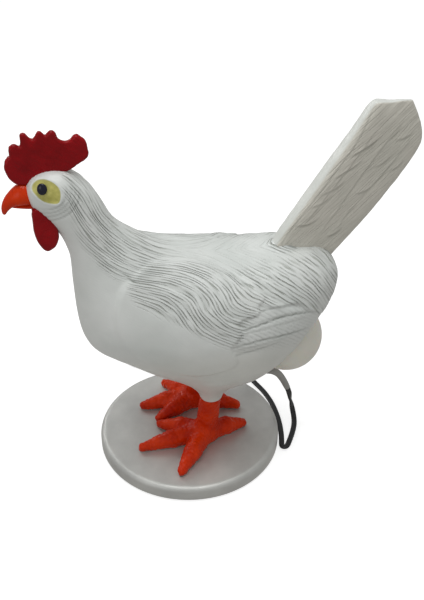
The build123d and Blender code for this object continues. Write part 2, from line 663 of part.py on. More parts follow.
def main():
    link = tube("cord_link", LINK_ROUTE, CORD_D)
    tail_end = tube("cord_tail", TAIL_ROUTE, CORD_D)
    made = {
        "base_disc": make_base(),
        "base_pad": make_pad(),
        "leg_nuts": make_nuts(),
        "leg_washers": make_washers(),
        "egg_shade": make_egg(),
        "egg_seal": make_seal(),
        "lamp_holder": make_holder(),
        "holder_screws": make_holder_screws(),
        "led_board": make_board(),
        "led_chips": make_leds(),
        "board_screws": make_board_screws(),
        "cable_gland": make_gland(),
        "strain_relief": make_relief(),
        "inner_lead": make_inner_lead(),
        "cord_lead": tube("cord_lead", LEAD_ROUTE, CORD_D),
        "cord_link": link,
        "cord_tail": tail_end,
        "cord_coil": make_coil([link, tail_end]),
        "coil_tie": make_tie(),
        "switch_case_lower": make_switch_lower(),
        "switch_case_upper": make_switch_upper(),
        "switch_screws": make_switch_screws(),
        "switch_rocker": make_rocker(),
        "switch_pin": make_rocker_pin(),
        "switch_contacts": make_contacts(),
        "plug_body": make_plug_body(),
        "plug_shell": make_plug_shell(),
        "plug_tongue": make_plug_tongue(),
        "plug_contacts": make_plug_contacts(),
    }
    for side in LEG_Y:
        made[f"leg_{side}"] = make_leg(side)
        made[f"leg_stud_{side}"] = make_stud(side)
    lower = skin(LOWER_BEAK_SECTIONS)
    upper = skin(UPPER_BEAK_SECTIONS) - lower
    tail, comb = make_tail(), one(make_comb() - upper)
    wattles = {"left": make_wattle(-1), "right": make_wattle(1)}
    eyes = {"left": make_eye(-1), "right": make_eye(1)}
    glued = [tail, comb, upper, lower, *wattles.values(), *eyes.values()]
    made["body_shell"] = make_body(glued + [made["cable_gland"]])
    made.update(tail_fan=tail, comb=comb, beak_upper=one(upper), beak_lower=lower)
    for side in LEG_Y:
        made[f"wattle_{side}"] = wattles[side]
        made[f"eye_{side}"] = eyes[side]
    for name, shape in made.items():
        write(name, shape)


main()
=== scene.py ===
"""A hen-shaped night light on a pale floor, seen from its left and above.

Every length in this file is in millimetres and is turned into metres as a mesh or curve is made. The frame
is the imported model's: the hen faces -X, its left side is -Y and +Z is up.
"""
from math import cos, pi, radians, sin

import bpy
import numpy as np
import openvdb as vdb
from mathutils import Matrix, Vector


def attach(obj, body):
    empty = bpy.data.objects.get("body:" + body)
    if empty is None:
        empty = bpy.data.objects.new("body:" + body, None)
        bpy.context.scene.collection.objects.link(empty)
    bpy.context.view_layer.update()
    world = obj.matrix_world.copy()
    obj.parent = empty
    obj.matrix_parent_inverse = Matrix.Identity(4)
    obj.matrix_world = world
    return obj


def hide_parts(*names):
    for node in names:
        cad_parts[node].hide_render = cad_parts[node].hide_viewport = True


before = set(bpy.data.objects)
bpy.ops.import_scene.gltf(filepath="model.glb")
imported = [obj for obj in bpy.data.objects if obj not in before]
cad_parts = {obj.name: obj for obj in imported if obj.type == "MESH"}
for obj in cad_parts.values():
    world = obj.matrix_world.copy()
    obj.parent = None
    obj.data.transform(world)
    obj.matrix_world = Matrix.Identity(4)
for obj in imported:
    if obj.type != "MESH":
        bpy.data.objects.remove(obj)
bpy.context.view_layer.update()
MM = 0.001

# ---------------------------------------------------------------- camera, light and floor

# Where the camera stands, what it looks at, its roll in degrees and its lens in millimetres.
CAMERA_AT = np.array([-68.5, -400.4, 384.6])
CAMERA_TO = np.array([13.0, 0.0, 96.4])
CAMERA_ROLL, CAMERA_LENS = 0.2, 56.4


def make_camera():
    data = bpy.data.cameras.new("camera")
    camera = bpy.data.objects.new("camera", data)
    bpy.context.scene.collection.objects.link(camera)
    data.sensor_width, data.lens = 36.0, CAMERA_LENS
    data.clip_start, data.clip_end = 0.02, 20.0
    look = Vector(CAMERA_TO - CAMERA_AT).to_track_quat("-Z", "Y").to_matrix().to_4x4()
    camera.matrix_world = Matrix.Translation(Vector(CAMERA_AT * MM)) @ look @ Matrix.Rotation(
        radians(CAMERA_ROLL), 4, "Z")
    bpy.context.scene.camera = camera


def area_light(name, at, to, size, watts, colour=(1, 1, 1)):
    data = bpy.data.lights.new(name, "AREA")
    data.shape, data.size, data.size_y = "RECTANGLE", size[0] * MM, size[1] * MM
    data.energy, data.color = watts, colour
    light = bpy.data.objects.new(name, data)
    bpy.context.scene.collection.objects.link(light)
    light.matrix_world = Matrix.Translation(Vector(at) * MM) @ (Vector(to) - Vector(at)).to_track_quat(
        "-Z", "Y").to_matrix().to_4x4()
    return light


def make_world():
    """A soft studio dome, bright overhead and dim towards the floor."""
    world = bpy.data.worlds.new("studio")
    bpy.context.scene.world = world
    world.use_nodes = True
    tree = world.node_tree
    coords = tree.nodes.new("ShaderNodeTexCoord")
    split = tree.nodes.new("ShaderNodeSeparateXYZ")
    ramp = tree.nodes.new("ShaderNodeValToRGB")
    background = tree.nodes["Background"]
    tree.links.new(coords.outputs["Generated"], split.inputs[0])
    tree.links.new(split.outputs["Z"], ramp.inputs[0])
    tree.links.new(ramp.outputs[0], background.inputs[0])
    ramp.color_ramp.elements[0].position, ramp.color_ramp.elements[0].color = 0.0, (0.44, 0.43, 0.415, 1)
    ramp.color_ramp.elements[1].position, ramp.color_ramp.elements[1].color = 0.9, (0.44, 0.45, 0.445, 1)
    low = ramp.color_ramp.elements.new(0.12)
    low.color = (0.46, 0.455, 0.445, 1)
    background.inputs[1].default_value = 1.0


def make_floor():
    """A pale floor that lights the scene little from below and takes only a faint shadow."""
    size = 6000 * MM
    mesh = bpy.data.meshes.new("floor")
    mesh.from_pydata([(-size, -size, 0), (size, -size, 0), (size, size, 0), (-size, size, 0)], [], [(0, 1, 2, 3)])
    floor = bpy.data.objects.new("floor", mesh)
    bpy.context.scene.collection.objects.link(floor)
    material = bpy.data.materials.new("floor_paper")
    material.use_nodes = True
    shader = material.node_tree.nodes["Principled BSDF"]
    shader.inputs["Base Color"].default_value = (0.5, 0.5, 0.5, 1)
    shader.inputs["Roughness"].default_value = 1.0
    shader.inputs["Specular IOR Level"].default_value = 0.0
    shader.inputs["Emission Color"].default_value = (1, 1, 1, 1)
    shader.inputs["Emission Strength"].default_value = 0.75
    mesh.materials.append(material)
    floor.visible_diffuse = False
    floor.visible_glossy = False


make_camera()
make_world()
make_floor()
area_light("overhead", (-60, -60, 900), (10, 0, 80), (500, 500), 3.3, (1.0, 1.0, 0.99))
area_light("front_left", (-600, -500, 420), (0, 0, 90), (300, 300), 0.5)
area_light("back_left", (-260, 430, 380), (-30, 0, 30), (160, 240), 0.5)
bpy.context.scene.view_settings.view_transform = "Standard"

# ---------------------------------------------------------------- numbers and curves


def smoothstep(low, high, x):
    t = np.clip((x - low) / (high - low), 0, 1)
    return t * t * (3 - 2 * t)


def spline(knots, values, at):
    """A natural cubic through values at knots, evaluated at other places."""
    k, v = np.asarray(knots, float), np.asarray(values, float)
    if v.ndim == 1:
        v = v[:, None]
    n, h = len(k), np.diff(k)
    system, right = np.eye(n), np.zeros_like(v)
    for i in range(1, n - 1):
        system[i, i - 1], system[i, i], system[i, i + 1] = h[i - 1], 2 * (h[i - 1] + h[i]), h[i]
        right[i] = 6 * ((v[i + 1] - v[i]) / h[i] - (v[i] - v[i - 1]) / h[i - 1])
    bend = np.linalg.solve(system, right)
    i = np.clip(np.searchsorted(k, at) - 1, 0, n - 2)
    a, b = (k[i + 1] - at)[:, None], (at - k[i])[:, None]
    w = h[i][:, None]
    out = (bend[i] * a**3 + bend[i + 1] * b**3) / (6 * w)
    out += (v[i] / w - bend[i] * w / 6) * a + (v[i + 1] / w - bend[i + 1] * w / 6) * b
    return out[:, 0] if np.ndim(values[0]) == 0 else out


def run_of(points):
    """How far along a line each of its points lies."""
    return np.concatenate([[0], np.cumsum(np.linalg.norm(np.diff(points, axis=0), axis=1))])


def rounded(points, count, closed=False):
    """A smooth line through given points, at even steps."""
    p = np.asarray(points, float)
    if closed:
        p = np.vstack([p[-3:], p, p[:4]])
    run = run_of(p)
    start, stop = (run[3], run[-4]) if closed else (0, run[-1])
    return spline(run, p, np.linspace(start, stop, count, endpoint=not closed))


class Noise:
    """Smooth value noise on a repeating lattice."""

    def __init__(self, seed):
        self.table = np.random.RandomState(seed).rand(32, 32, 32).astype(np.float32)

    def __call__(self, points, size):
        p = np.asarray(points) / np.asarray(size)
        i = np.floor(p).astype(int)
        f = p - i
        f = f * f * (3 - 2 * f)
        total = 0
        for dx in (0, 1):
            for dy in (0, 1):
                for dz in (0, 1):
                    weight = (f[:, 0] if dx else 1 - f[:, 0]) * (f[:, 1] if dy else 1 - f[:, 1])
                    weight = weight * (f[:, 2] if dz else 1 - f[:, 2])
                    total = total + weight * self.table[(i[:, 0] + dx) % 32, (i[:, 1] + dy) % 32, (i[:, 2] + dz) % 32]
        return 2 * total - 1


noise = Noise(4)

# ---------------------------------------------------------------- meshes


def add_mesh(name, points, faces, material, body="hen", nodes=()):
    """A smooth-shaded piece from points in millimetres."""
    mesh = bpy.data.meshes.new(name)
    mesh.from_pydata((np.asarray(points, float) * MM).tolist(), [], [list(map(int, f)) for f in faces])
    mesh.update()
    mesh.validate()
    mesh.polygons.foreach_set("use_smooth", [True] * len(mesh.polygons))
    piece = bpy.data.objects.new(name, mesh)
    bpy.context.scene.collection.objects.link(piece)
    mesh.materials.append(material)
    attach(piece, body)
    if nodes:
        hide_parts(*nodes)
    return piece


def attributes(piece, **layers):
    """Numbers at each point of the mesh, for its material to read."""
    for name, values in layers.items():
        made = piece.data.attributes.new(name, "FLOAT", "POINT")
        made.data.foreach_set("value", np.asarray(values, np.float32))


def capped(rings):
    """Points and faces of a closed skin over rings, each an array of points."""
    rows, columns = len(rings), len(rings[0])
    points = np.vstack([np.vstack(rings), rings[0].mean(0), rings[-1].mean(0)])
    r, c = np.meshgrid(np.arange(rows - 1) * columns, np.arange(columns), indexing="ij")
    n = (c + 1) % columns
    faces = np.stack([r + c, r + n, r + columns + n, r + columns + c], -1).reshape(-1, 4).tolist()
    first, last = rows * columns, rows * columns + 1
    for k in range(columns):
        n = (k + 1) % columns
        faces.append([first, n, k])
        faces.append([last, (rows - 1) * columns + k, (rows - 1) * columns + n])
    return points, faces


def section_rings(sections, rows, up, wide):
    """Rings along a list of sections, each two edges (x, z) and half the width between them. up and wide are the
    outline's places towards the first edge and across it, -1 to 1."""
    s = np.arange(len(sections))
    at = np.linspace(0, len(s) - 1, rows)
    curves = [spline(s, np.array([section[k] for section in sections]), at) for k in range(3)]
    rings = []
    for first, second, half in zip(*curves):
        middle, reach = (first + second) / 2, (first - second) / 2
        rings.append(np.stack([middle[0] + reach[0] * up, max(half, 0.2) * wide, middle[1] + reach[1] * up], -1))
    return rings


def lathe(profile, at, direction, columns=96):
    """Points and faces of a closed solid of revolution. profile is (radius, height) from axis to axis."""
    z = np.asarray(direction, float) / np.linalg.norm(direction)
    x = np.cross([0, 1, 0], z) if abs(z[1]) < 0.9 else np.cross([1, 0, 0], z)
    x /= np.linalg.norm(x)
    y = np.cross(z, x)
    a = np.linspace(0, 2 * pi, columns, endpoint=False)
    rings = [at + r * (np.cos(a)[:, None] * x + np.sin(a)[:, None] * y) + h * z for r, h in profile]
    return capped(rings)


def surface(field, low, step):
    """Quads of the surface of a field sampled on a grid, as points in millimetres and faces."""
    band = 4 * step
    grid = vdb.FloatGrid(float(band))
    grid.copyFromArray(np.ascontiguousarray(np.clip(field, -band, band), dtype=np.float32), tolerance=0.0)
    points, quads = grid.convertToQuads(0.0)
    points = points.astype(float) * step + np.asarray(low)
    a, b, c = points[quads[:, 0]], points[quads[:, 1]], points[quads[:, 2]]
    if np.einsum("ij,ij->", np.cross(b - a, c - a), a - points.mean(0)) < 0:
        quads = quads[:, ::-1]
    return points, quads


def axes(low, high, step):
    return [np.arange(l, h + step, step) for l, h in zip(low, high)]


def sampled_skin(points, faces, low, high, step, reach):
    """The distance to a closed mesh on a grid, up to reach."""
    quads = np.array([f for f in faces if len(f) == 4], np.uint32)
    triangles = np.array([f for f in faces if len(f) == 3], np.uint32)
    local = ((points - np.asarray(low)) / step).astype(np.float32)
    grid = vdb.FloatGrid.createLevelSetFromPolygons(
        local, triangles=triangles, quads=quads, transform=vdb.createLinearTransform(1.0), halfWidth=reach / step)
    out = np.empty([len(a) for a in axes(low, high, step)], np.float32)
    grid.copyToArray(out)
    return out * step


def union(a, b, blend):
    h = np.clip(0.5 + 0.5 * (b - a) / blend, 0, 1)
    return b * (1 - h) + a * h - blend * h * (1 - h)


def carve(a, b, blend):
    return -union(-a, b, blend)


def soften(field, times=1):
    """Rounds a sampled field's sharp edges."""
    for _ in range(times):
        for axis in range(3):
            field = (np.roll(field, 1, axis) + 2 * field + np.roll(field, -1, axis)) / 4
    return field


def cone(x, y, z, a, b, ra, rb):
    """The distance to a tapering rod with rounded ends."""
    a, b = np.asarray(a, float), np.asarray(b, float)
    d = b - a
    t = np.clip(((x - a[0]) * d[0] + (y - a[1]) * d[1] + (z - a[2]) * d[2]) / d.dot(d), 0, 1)
    gap = np.sqrt((x - a[0] - t * d[0]) ** 2 + (y - a[1] - t * d[1]) ** 2 + (z - a[2] - t * d[2]) ** 2)
    return gap - (ra + (rb - ra) * t), t


def normals(points, quads):
    """Unit normals of a quad mesh, smoothed a little."""
    face = np.cross(points[quads[:, 2]] - points[quads[:, 0]], points[quads[:, 3]] - points[quads[:, 1]])
    out = np.zeros_like(points)
    for k in range(4):
        np.add.at(out, quads[:, k], face)
    for _ in range(2):
        mean = out[quads].sum(1)
        again = np.zeros_like(out)
        for k in range(4):
            np.add.at(again, quads[:, k], mean)
        out = again / np.linalg.norm(again, axis=1)[:, None]
    return out


# ---------------------------------------------------------------- relief, drawn in a side view


def side_view(points):
    """Where each point shows on the hen's middle plane, as (x, z), to an eye high on its left. The right
    side is seen in a mirror, so that both sides carry the same relief."""
    y = -np.abs(points[:, 1])
    t = -CAMERA_AT[1] / (y - CAMERA_AT[1])
    return np.stack([CAMERA_AT[0] + (points[:, 0] - CAMERA_AT[0]) * t,
                     CAMERA_AT[2] + (points[:, 2] - CAMERA_AT[2]) * t], -1)


def turned_to_view(points, normal):
    """How far each point of the surface faces that eye: 1 full on, 0 or less away from it."""
    mirror = np.where(points[:, 1:2] > 0, [1, -1, 1], 1)
    ray = CAMERA_AT - points * mirror
    return np.einsum("ij,ij->i", normal * mirror, ray / np.linalg.norm(ray, axis=1)[:, None])


class Drawing:
    """Relief over a rectangle of the side view, drawn stroke by stroke: cut holds the grooves, rise their lips
    and height the raised areas."""

    def __init__(self, low, high, step=0.35):
        self.low, self.step = np.asarray(low, float), step
        self.shape = tuple(int((h - l) / step) + 1 for l, h in zip(low, high))
        self.cut, self.rise, self.height = np.zeros((3, *self.shape))
        self.x, self.z = np.meshgrid(*[l + step * np.arange(n) for l, n in zip(low, self.shape)], indexing="ij")

    def near(self, line, reach):
        """Slices of the drawing round a line, and for each place there the signed distance to the line and how
        far along it lies, 0 to 1."""
        a = np.maximum(((line.min(0) - reach - self.low) / self.step).astype(int), 0)
        b = np.minimum(((line.max(0) + reach - self.low) / self.step).astype(int) + 1, self.shape)
        where = (slice(a[0], b[0]), slice(a[1], b[1]))
        p = np.stack([self.x[where], self.z[where]], -1)[:, :, None]
        s, d = line[:-1], np.diff(line, axis=0)
        length = np.linalg.norm(d, axis=1)
        t = np.clip(((p - s) * d).sum(-1) / length**2, 0, 1)
        gap = np.linalg.norm(p - s - t[..., None] * d, axis=-1)
        k = gap.argmin(-1)[..., None]
        t, gap = np.take_along_axis(t, k, -1)[..., 0], np.take_along_axis(gap, k, -1)[..., 0]
        k = k[..., 0]
        off = p[:, :, 0] - s[k]
        side = np.sign(d[k][..., 0] * off[..., 1] - d[k][..., 1] * off[..., 0])
        run = run_of(line)
        return where, gap * side, (run[k] + t * length[k]) / run[-1]

    def stroke(self, line, depth=1.0, width=0.5, taper=0.5):
        """A groove with a small lip on its upper side, fading out at both ends."""
        where, v, u = self.near(np.asarray(line), 3.5 * width)
        fade = np.clip(np.sin(pi * np.clip(u, 0.02, 0.98)), 0, 1) ** taper
        self.cut[where] = np.maximum(self.cut[where], depth * fade * np.exp(-((v / width) ** 2)))
        lip = 0.55 * depth * fade * np.exp(-(((v - 1.5 * width) / width) ** 2))
        self.rise[where] = np.maximum(self.rise[where], lip)

    def inside(self, outline):
        """The signed distance to an outline, below 0 inside it."""
        return outline_distance(self.x, self.z, rounded(outline, 120, closed=True))

    def filled(self, outline, edge):
        """1 inside an outline and 0 outside it, with an edge of that width between."""
        return smoothstep(edge / 2, -edge / 2, self.inside(outline))

    def at(self, layer, points):
        """A layer's value at each point of the side view."""
        return sample(layer, (points - self.low) / self.step)


def sample(layer, p):
    """A layer's value between its cells."""
    p = np.clip(p, 0, np.array(layer.shape) - 1.001)
    i = p.astype(int)
    f = p - i
    out = 0
    for dx in (0, 1):
        for dz in (0, 1):
            weight = (f[:, 0] if dx else 1 - f[:, 0]) * (f[:, 1] if dz else 1 - f[:, 1])
            out = out + weight * layer[i[:, 0] + dx, i[:, 1] + dz]
    return out


def outline_distance(x, z, line):
    """The signed distance from places to a closed line."""
    best, inside = np.full(x.shape, 1e9), np.zeros(x.shape, bool)
    for a, b in zip(line, np.roll(line, -1, axis=0)):
        d = b - a
        t = np.clip(((x - a[0]) * d[0] + (z - a[1]) * d[1]) / max(d.dot(d), 1e-9), 0, 1)
        best = np.minimum(best, (x - a[0] - t * d[0]) ** 2 + (z - a[1] - t * d[1]) ** 2)
        if a[1] != b[1]:
            crosses = (a[1] > z) != (b[1] > z)
            inside ^= crosses & (x < a[0] + (z - a[1]) / (b[1] - a[1]) * d[0])
    return np.where(inside, -1, 1) * np.sqrt(best)


class Flow:
    """A field of directions that follows a few guide lines."""

    def __init__(self, guides):
        points, ways = [], []
        for guide in guides:
            line = rounded(guide, 14)
            points.append((line[:-1] + line[1:]) / 2)
            ways.append(np.diff(line, axis=0))
        self.points, ways = np.vstack(points), np.vstack(ways)
        self.ways = ways / np.linalg.norm(ways, axis=1)[:, None]

    def __call__(self, p):
        weight = 1 / (((self.points - p[..., None, :]) ** 2).sum(-1) + 4.0) ** 2
        way = (self.ways * weight[..., None]).sum(-2)
        return way / np.linalg.norm(way, axis=-1)[..., None]


class Strands:
    """Two smooth numbers over the side view: across grows a millimetre to a millimetre across the feathers, and
    along grows the way they lie."""

    def __init__(self, guides, low, high, step=2.5):
        flow = Flow(guides)
        self.low, self.step = np.asarray(low, float), step
        x, z = np.meshgrid(*[np.arange(l, h + step, step) for l, h in zip(low, high)], indexing="ij")
        way = flow(np.stack([x, z], -1))
        self.along = self.solve(way)
        self.across = self.solve(np.stack([-way[..., 1], way[..., 0]], -1))

    def solve(self, slope):
        """The surface whose slopes come nearest to the given ones."""
        value = np.zeros(slope.shape[:2])
        push_x = (slope[1:, :, 0] + slope[:-1, :, 0]) / 2 * self.step
        push_z = (slope[:, 1:, 1] + slope[:, :-1, 1]) / 2 * self.step
        for _ in range(9000):
            total, count = np.zeros_like(value), np.zeros_like(value)
            total[1:] += value[:-1] + push_x
            total[:-1] += value[1:] - push_x
            total[:, 1:] += value[:, :-1] + push_z
            total[:, :-1] += value[:, 1:] - push_z
            count[1:] += 1
            count[:-1] += 1
            count[:, 1:] += 1
            count[:, :-1] += 1
            value = total / count
            value -= value[0, 0]
        return value

    def __call__(self, p):
        return tuple(sample(layer, (p - self.low) / self.step) for layer in (self.across, self.along))


# ---------------------------------------------------------------- materials


def node_maker(material):
    tree = material.node_tree

    def node(kind, inputs=(), **settings):
        made = tree.nodes.new(kind)
        for key, value in settings.items():
            setattr(made, key, value)
        for key, value in dict(inputs).items():
            socket = made.inputs[key]
            if isinstance(value, bpy.types.NodeSocket):
                tree.links.new(value, socket)
            else:
                socket.default_value = value
        return made

    return node


def new_material(name, roughness, **sockets):
    material = bpy.data.materials.new(name)
    material.use_nodes = True
    shader = material.node_tree.nodes["Principled BSDF"]
    shader.inputs["Roughness"].default_value = roughness
    for key, value in sockets.items():
        shader.inputs[key.replace("_", " ")].default_value = value
    return material, shader, node_maker(material)


def mottle(node, coords, scale, detail=3.0, roughness=0.55):
    return node("ShaderNodeTexNoise", {"Vector": coords, "Scale": scale, "Detail": detail, "Roughness": roughness})


def ramp(node, value, stops):
    made = node("ShaderNodeValToRGB", {0: value})
    elements = made.color_ramp.elements
    for element, (place, colour) in zip(elements, (stops[0], stops[-1])):
        element.position, element.color = place, (*colour, 1)
    for place, colour in stops[1:-1]:
        elements.new(place).color = (*colour, 1)
    return made.outputs[0]


def mixed(node, kind, factor, a, b):
    made = node("ShaderNodeMix", data_type="RGBA", blend_type=kind)
    for socket, value in ((made.inputs[0], factor), (made.inputs[6], a), (made.inputs[7], b)):
        if isinstance(value, bpy.types.NodeSocket):
            made.id_data.links.new(value, socket)
        else:
            socket.default_value = value
    return made.outputs[2]


def bump(node, height, distance, strength=1.0, normal=None):
    inputs = {"Height": height, "Distance": distance * MM, "Strength": strength}
    if normal is not None:
        inputs["Normal"] = normal
    return node("ShaderNodeBump", inputs).outputs[0]


def paint(name, light, dark, roughness, grain, coat=0.0, specular=0.5, **sockets):
    """A brushed lacquer: two close colours in soft patches, with a fine orange-peel surface. grain is the
    scale of the peel and its depth in millimetres."""
    material, shader, node = new_material(name, roughness, **sockets)
    shader.inputs["Coat Weight"].default_value = coat
    shader.inputs["Coat Roughness"].default_value = 0.12
    shader.inputs["Specular IOR Level"].default_value = specular
    coords = node("ShaderNodeTexCoord").outputs["Object"]
    patches = mottle(node, coords, 70.0, 4.0).outputs[0]
    colour = ramp(node, patches, [(0.3, dark), (0.7, light)])
    material.node_tree.links.new(colour, shader.inputs["Base Color"])
    rough = node("ShaderNodeMapRange", {"Value": mottle(node, coords, 180.0).outputs[0], "To Min": roughness - 0.07,
                                        "To Max": roughness + 0.09})
    material.node_tree.links.new(rough.outputs[0], shader.inputs["Roughness"])
    peel = mottle(node, coords, grain[0], 2.0).outputs[0]
    material.node_tree.links.new(bump(node, peel, grain[1]), shader.inputs["Normal"])
    return material


def leg_paint():
    """The legs' lacquer, worn to a pale line where the toes meet the base."""
    material = paint("leg_lacquer", (0.74, 0.045, 0.002), (0.46, 0.014, 0.001), 0.34, (420.0, 0.15), 0.02, 0.14)
    node, shader = node_maker(material), material.node_tree.nodes["Principled BSDF"]
    red = shader.inputs["Base Color"].links[0].from_socket
    coords = node("ShaderNodeTexCoord").outputs["Object"]
    height = node("ShaderNodeSeparateXYZ", {0: coords}).outputs["Z"]
    worn = node("ShaderNodeMapRange", {"Value": height, "From Min": 10.3 * MM, "From Max": 9.8 * MM}).outputs[0]
    material.node_tree.links.new(mixed(node, "MIX", worn, red, (0.5, 0.46, 0.43, 1)), shader.inputs["Base Color"])
    return material


def hen_white():
    """White lacquer with painted shade, grey-green in the grooves and warmer and darker low on the body and on the
    tail's flanks, and the painted eye patch.
    """
    material, shader, node = new_material("hen_white", 0.42)
    shader.inputs["Coat Weight"].default_value = 0.12
    shader.inputs["Coat Roughness"].default_value = 0.25
    coords = node("ShaderNodeTexCoord").outputs["Object"]
    groove, warm, eye_patch, across, along, feathered = (
        node("ShaderNodeAttribute", attribute_name=name).outputs["Fac"]
        for name in ("groove", "warm", "eye_patch", "across", "along", "feathered"))

    def maths(kind, *values):
        return node("ShaderNodeMath", dict(enumerate(values)), operation=kind).outputs[0]

    def spread(value, low, high, **settings):
        """The value, stretched so that low gives 0 and high gives 1."""
        return node("ShaderNodeMapRange", {"Value": value, "From Min": low, "From Max": high}, **settings).outputs[0]

    def strand_noise(wide, long, offset):
        """Noise drawn out along the feathers."""
        place = {"X": maths("MULTIPLY", across, wide), "Y": maths("MULTIPLY", along, long), "Z": offset}
        return mottle(node, node("ShaderNodeCombineXYZ", place).outputs[0], 1.0, 1.5, 0.55).outputs[0]

    # carved lines 1.5 mm apart that wander, and fade and start again; besides their bump they are darkened in the
    # colour below, which is painted shade
    wander = maths("MULTIPLY_ADD", strand_noise(0.25, 0.045, 0.0), 2.2, maths("MULTIPLY", across, 0.66))
    line = spread(maths("PINGPONG", wander, 0.5), 0.24, 0.0, interpolation_type="SMOOTHSTEP")
    broken = spread(strand_noise(0.55, 0.075, 7.0), 0.36, 0.62)
    broken.node.inputs["To Min"].default_value = 0.12
    carved = maths("MULTIPLY", maths("MULTIPLY", line, broken), feathered)

    white = ramp(node, mottle(node, coords, 35.0, 4.0).outputs[0],
                 [(0.3, (0.63, 0.66, 0.64)), (0.72, (0.74, 0.76, 0.745))])
    # painted shade: the lower body and the tail's flanks tinted warmer and darker
    warmer = mixed(node, "MULTIPLY", warm, white, (0.93, 0.87, 0.80, 1))
    # painted shade: the grooves and furrows darkened to grey-green
    groove_shaded = mixed(node, "MULTIPLY", groove, warmer, (0.36, 0.38, 0.35, 1))
    yellow = ramp(node, mottle(node, coords, 260.0, 3.0).outputs[0],
                  [(0.3, (0.36, 0.34, 0.07)), (0.7, (0.58, 0.54, 0.16))])
    painted = mixed(node, "MIX", spread(eye_patch, 0.25, -0.25), groove_shaded, yellow)
    # painted shade: the colour darkened along the carved lines
    colour = mixed(node, "MULTIPLY", carved, painted, (0.72, 0.73, 0.68, 1))
    skin = bump(node, mottle(node, coords, 420.0, 2.0).outputs[0], 0.05)
    relief = bump(node, maths("SUBTRACT", 1.0, carved), 0.75, 1.0, skin)
    material.node_tree.links.new(colour, shader.inputs["Base Color"])
    material.node_tree.links.new(relief, shader.inputs["Normal"])
    return material


def make_materials():
    made = {
        "hen": hen_white(),
        "comb": paint("crimson_lacquer", (0.30, 0.003, 0.006), (0.19, 0.001, 0.003), 0.26, (330.0, 0.28), 0.04, 0.14),
        "beak": paint("beak_lacquer", (0.66, 0.042, 0.001), (0.48, 0.016, 0.001), 0.26, (200.0, 0.04), 0.04, 0.15),
        "leg": leg_paint(),
        "eye": paint("eye_lacquer", (0.012, 0.013, 0.03), (0.006, 0.007, 0.016), 0.2, (200.0, 0.01), 0.15, 0.25),
        "silver": paint("silver_lacquer", (0.62, 0.62, 0.60), (0.52, 0.52, 0.505), 0.54, (700.0, 0.02), 0.08,
                        Metallic=0.7),
        "pad": paint("pad_foam", (0.035, 0.035, 0.035), (0.02, 0.02, 0.02), 0.9, (900.0, 0.2)),
        "cord": paint("cord_sheath", (0.014, 0.014, 0.016), (0.009, 0.009, 0.010), 0.38, (900.0, 0.01)),
        "relief": paint("relief_vinyl", (0.38, 0.38, 0.36), (0.27, 0.27, 0.26), 0.5, (500.0, 0.03)),
        "case": paint("case_plastic", (0.018, 0.018, 0.019), (0.012, 0.012, 0.013), 0.48, (1500.0, 0.05)),
        "rocker": paint("rocker_plastic", (0.13, 0.13, 0.135), (0.1, 0.1, 0.105), 0.3, (900.0, 0.01)),
        "tie": paint("tie_strap", (0.07, 0.07, 0.075), (0.045, 0.045, 0.05), 0.7, (1200.0, 0.1)),
        "holder": paint("holder_plastic", (0.76, 0.76, 0.73), (0.7, 0.7, 0.67), 0.5, (900.0, 0.02)),
        "seal": paint("seal_rubber", (0.5, 0.5, 0.48), (0.42, 0.42, 0.4), 0.75, (900.0, 0.03)),
        "board": paint("board_resist", (0.8, 0.8, 0.78), (0.74, 0.74, 0.72), 0.4, (900.0, 0.01)),
        "chip": paint("chip_resin", (0.85, 0.62, 0.1), (0.75, 0.5, 0.08), 0.25, (900.0, 0.01)),
        "steel": paint("zinc_steel", (0.6, 0.6, 0.6), (0.5, 0.5, 0.5), 0.32, (900.0, 0.01), Metallic=1.0),
        "brass": paint("contact_brass", (0.75, 0.52, 0.2), (0.62, 0.42, 0.15), 0.3, (900.0, 0.01), Metallic=1.0),
    }
    egg = paint("egg_shell", (0.84, 0.83, 0.76), (0.78, 0.765, 0.69), 0.36, (260.0, 0.03), 0.1)
    shader = egg.node_tree.nodes["Principled BSDF"]
    shader.inputs["Subsurface Weight"].default_value = 0.5
    shader.inputs["Subsurface Radius"].default_value = (1.0, 0.7, 0.5)
    shader.inputs["Subsurface Scale"].default_value = 0.004
    made["egg"] = egg
    return made


MATERIALS = make_materials()
NODE_MATERIALS = {
    "steel": ["leg_stud_left", "leg_stud_right", "leg_nuts", "leg_washers", "holder_screws", "board_screws",
              "switch_screws", "switch_pin", "plug_shell"],
    "pad": ["base_pad"],
    "holder": ["lamp_holder"],
    "seal": ["egg_seal"],
    "board": ["led_board", "plug_tongue"],
    "chip": ["led_chips"],
    "relief": ["cable_gland"],
    "cord": ["inner_lead"],
    "tie": ["coil_tie"],
    "case": ["switch_case_lower", "switch_case_upper", "plug_body"],
    "rocker": ["switch_rocker"],
    "brass": ["switch_contacts", "plug_contacts"],
}
for material, nodes in NODE_MATERIALS.items():
    for name in nodes:
        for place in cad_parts[name].material_slots:
            place.material = MATERIALS[material]

# ---------------------------------------------------------------- the hen's body

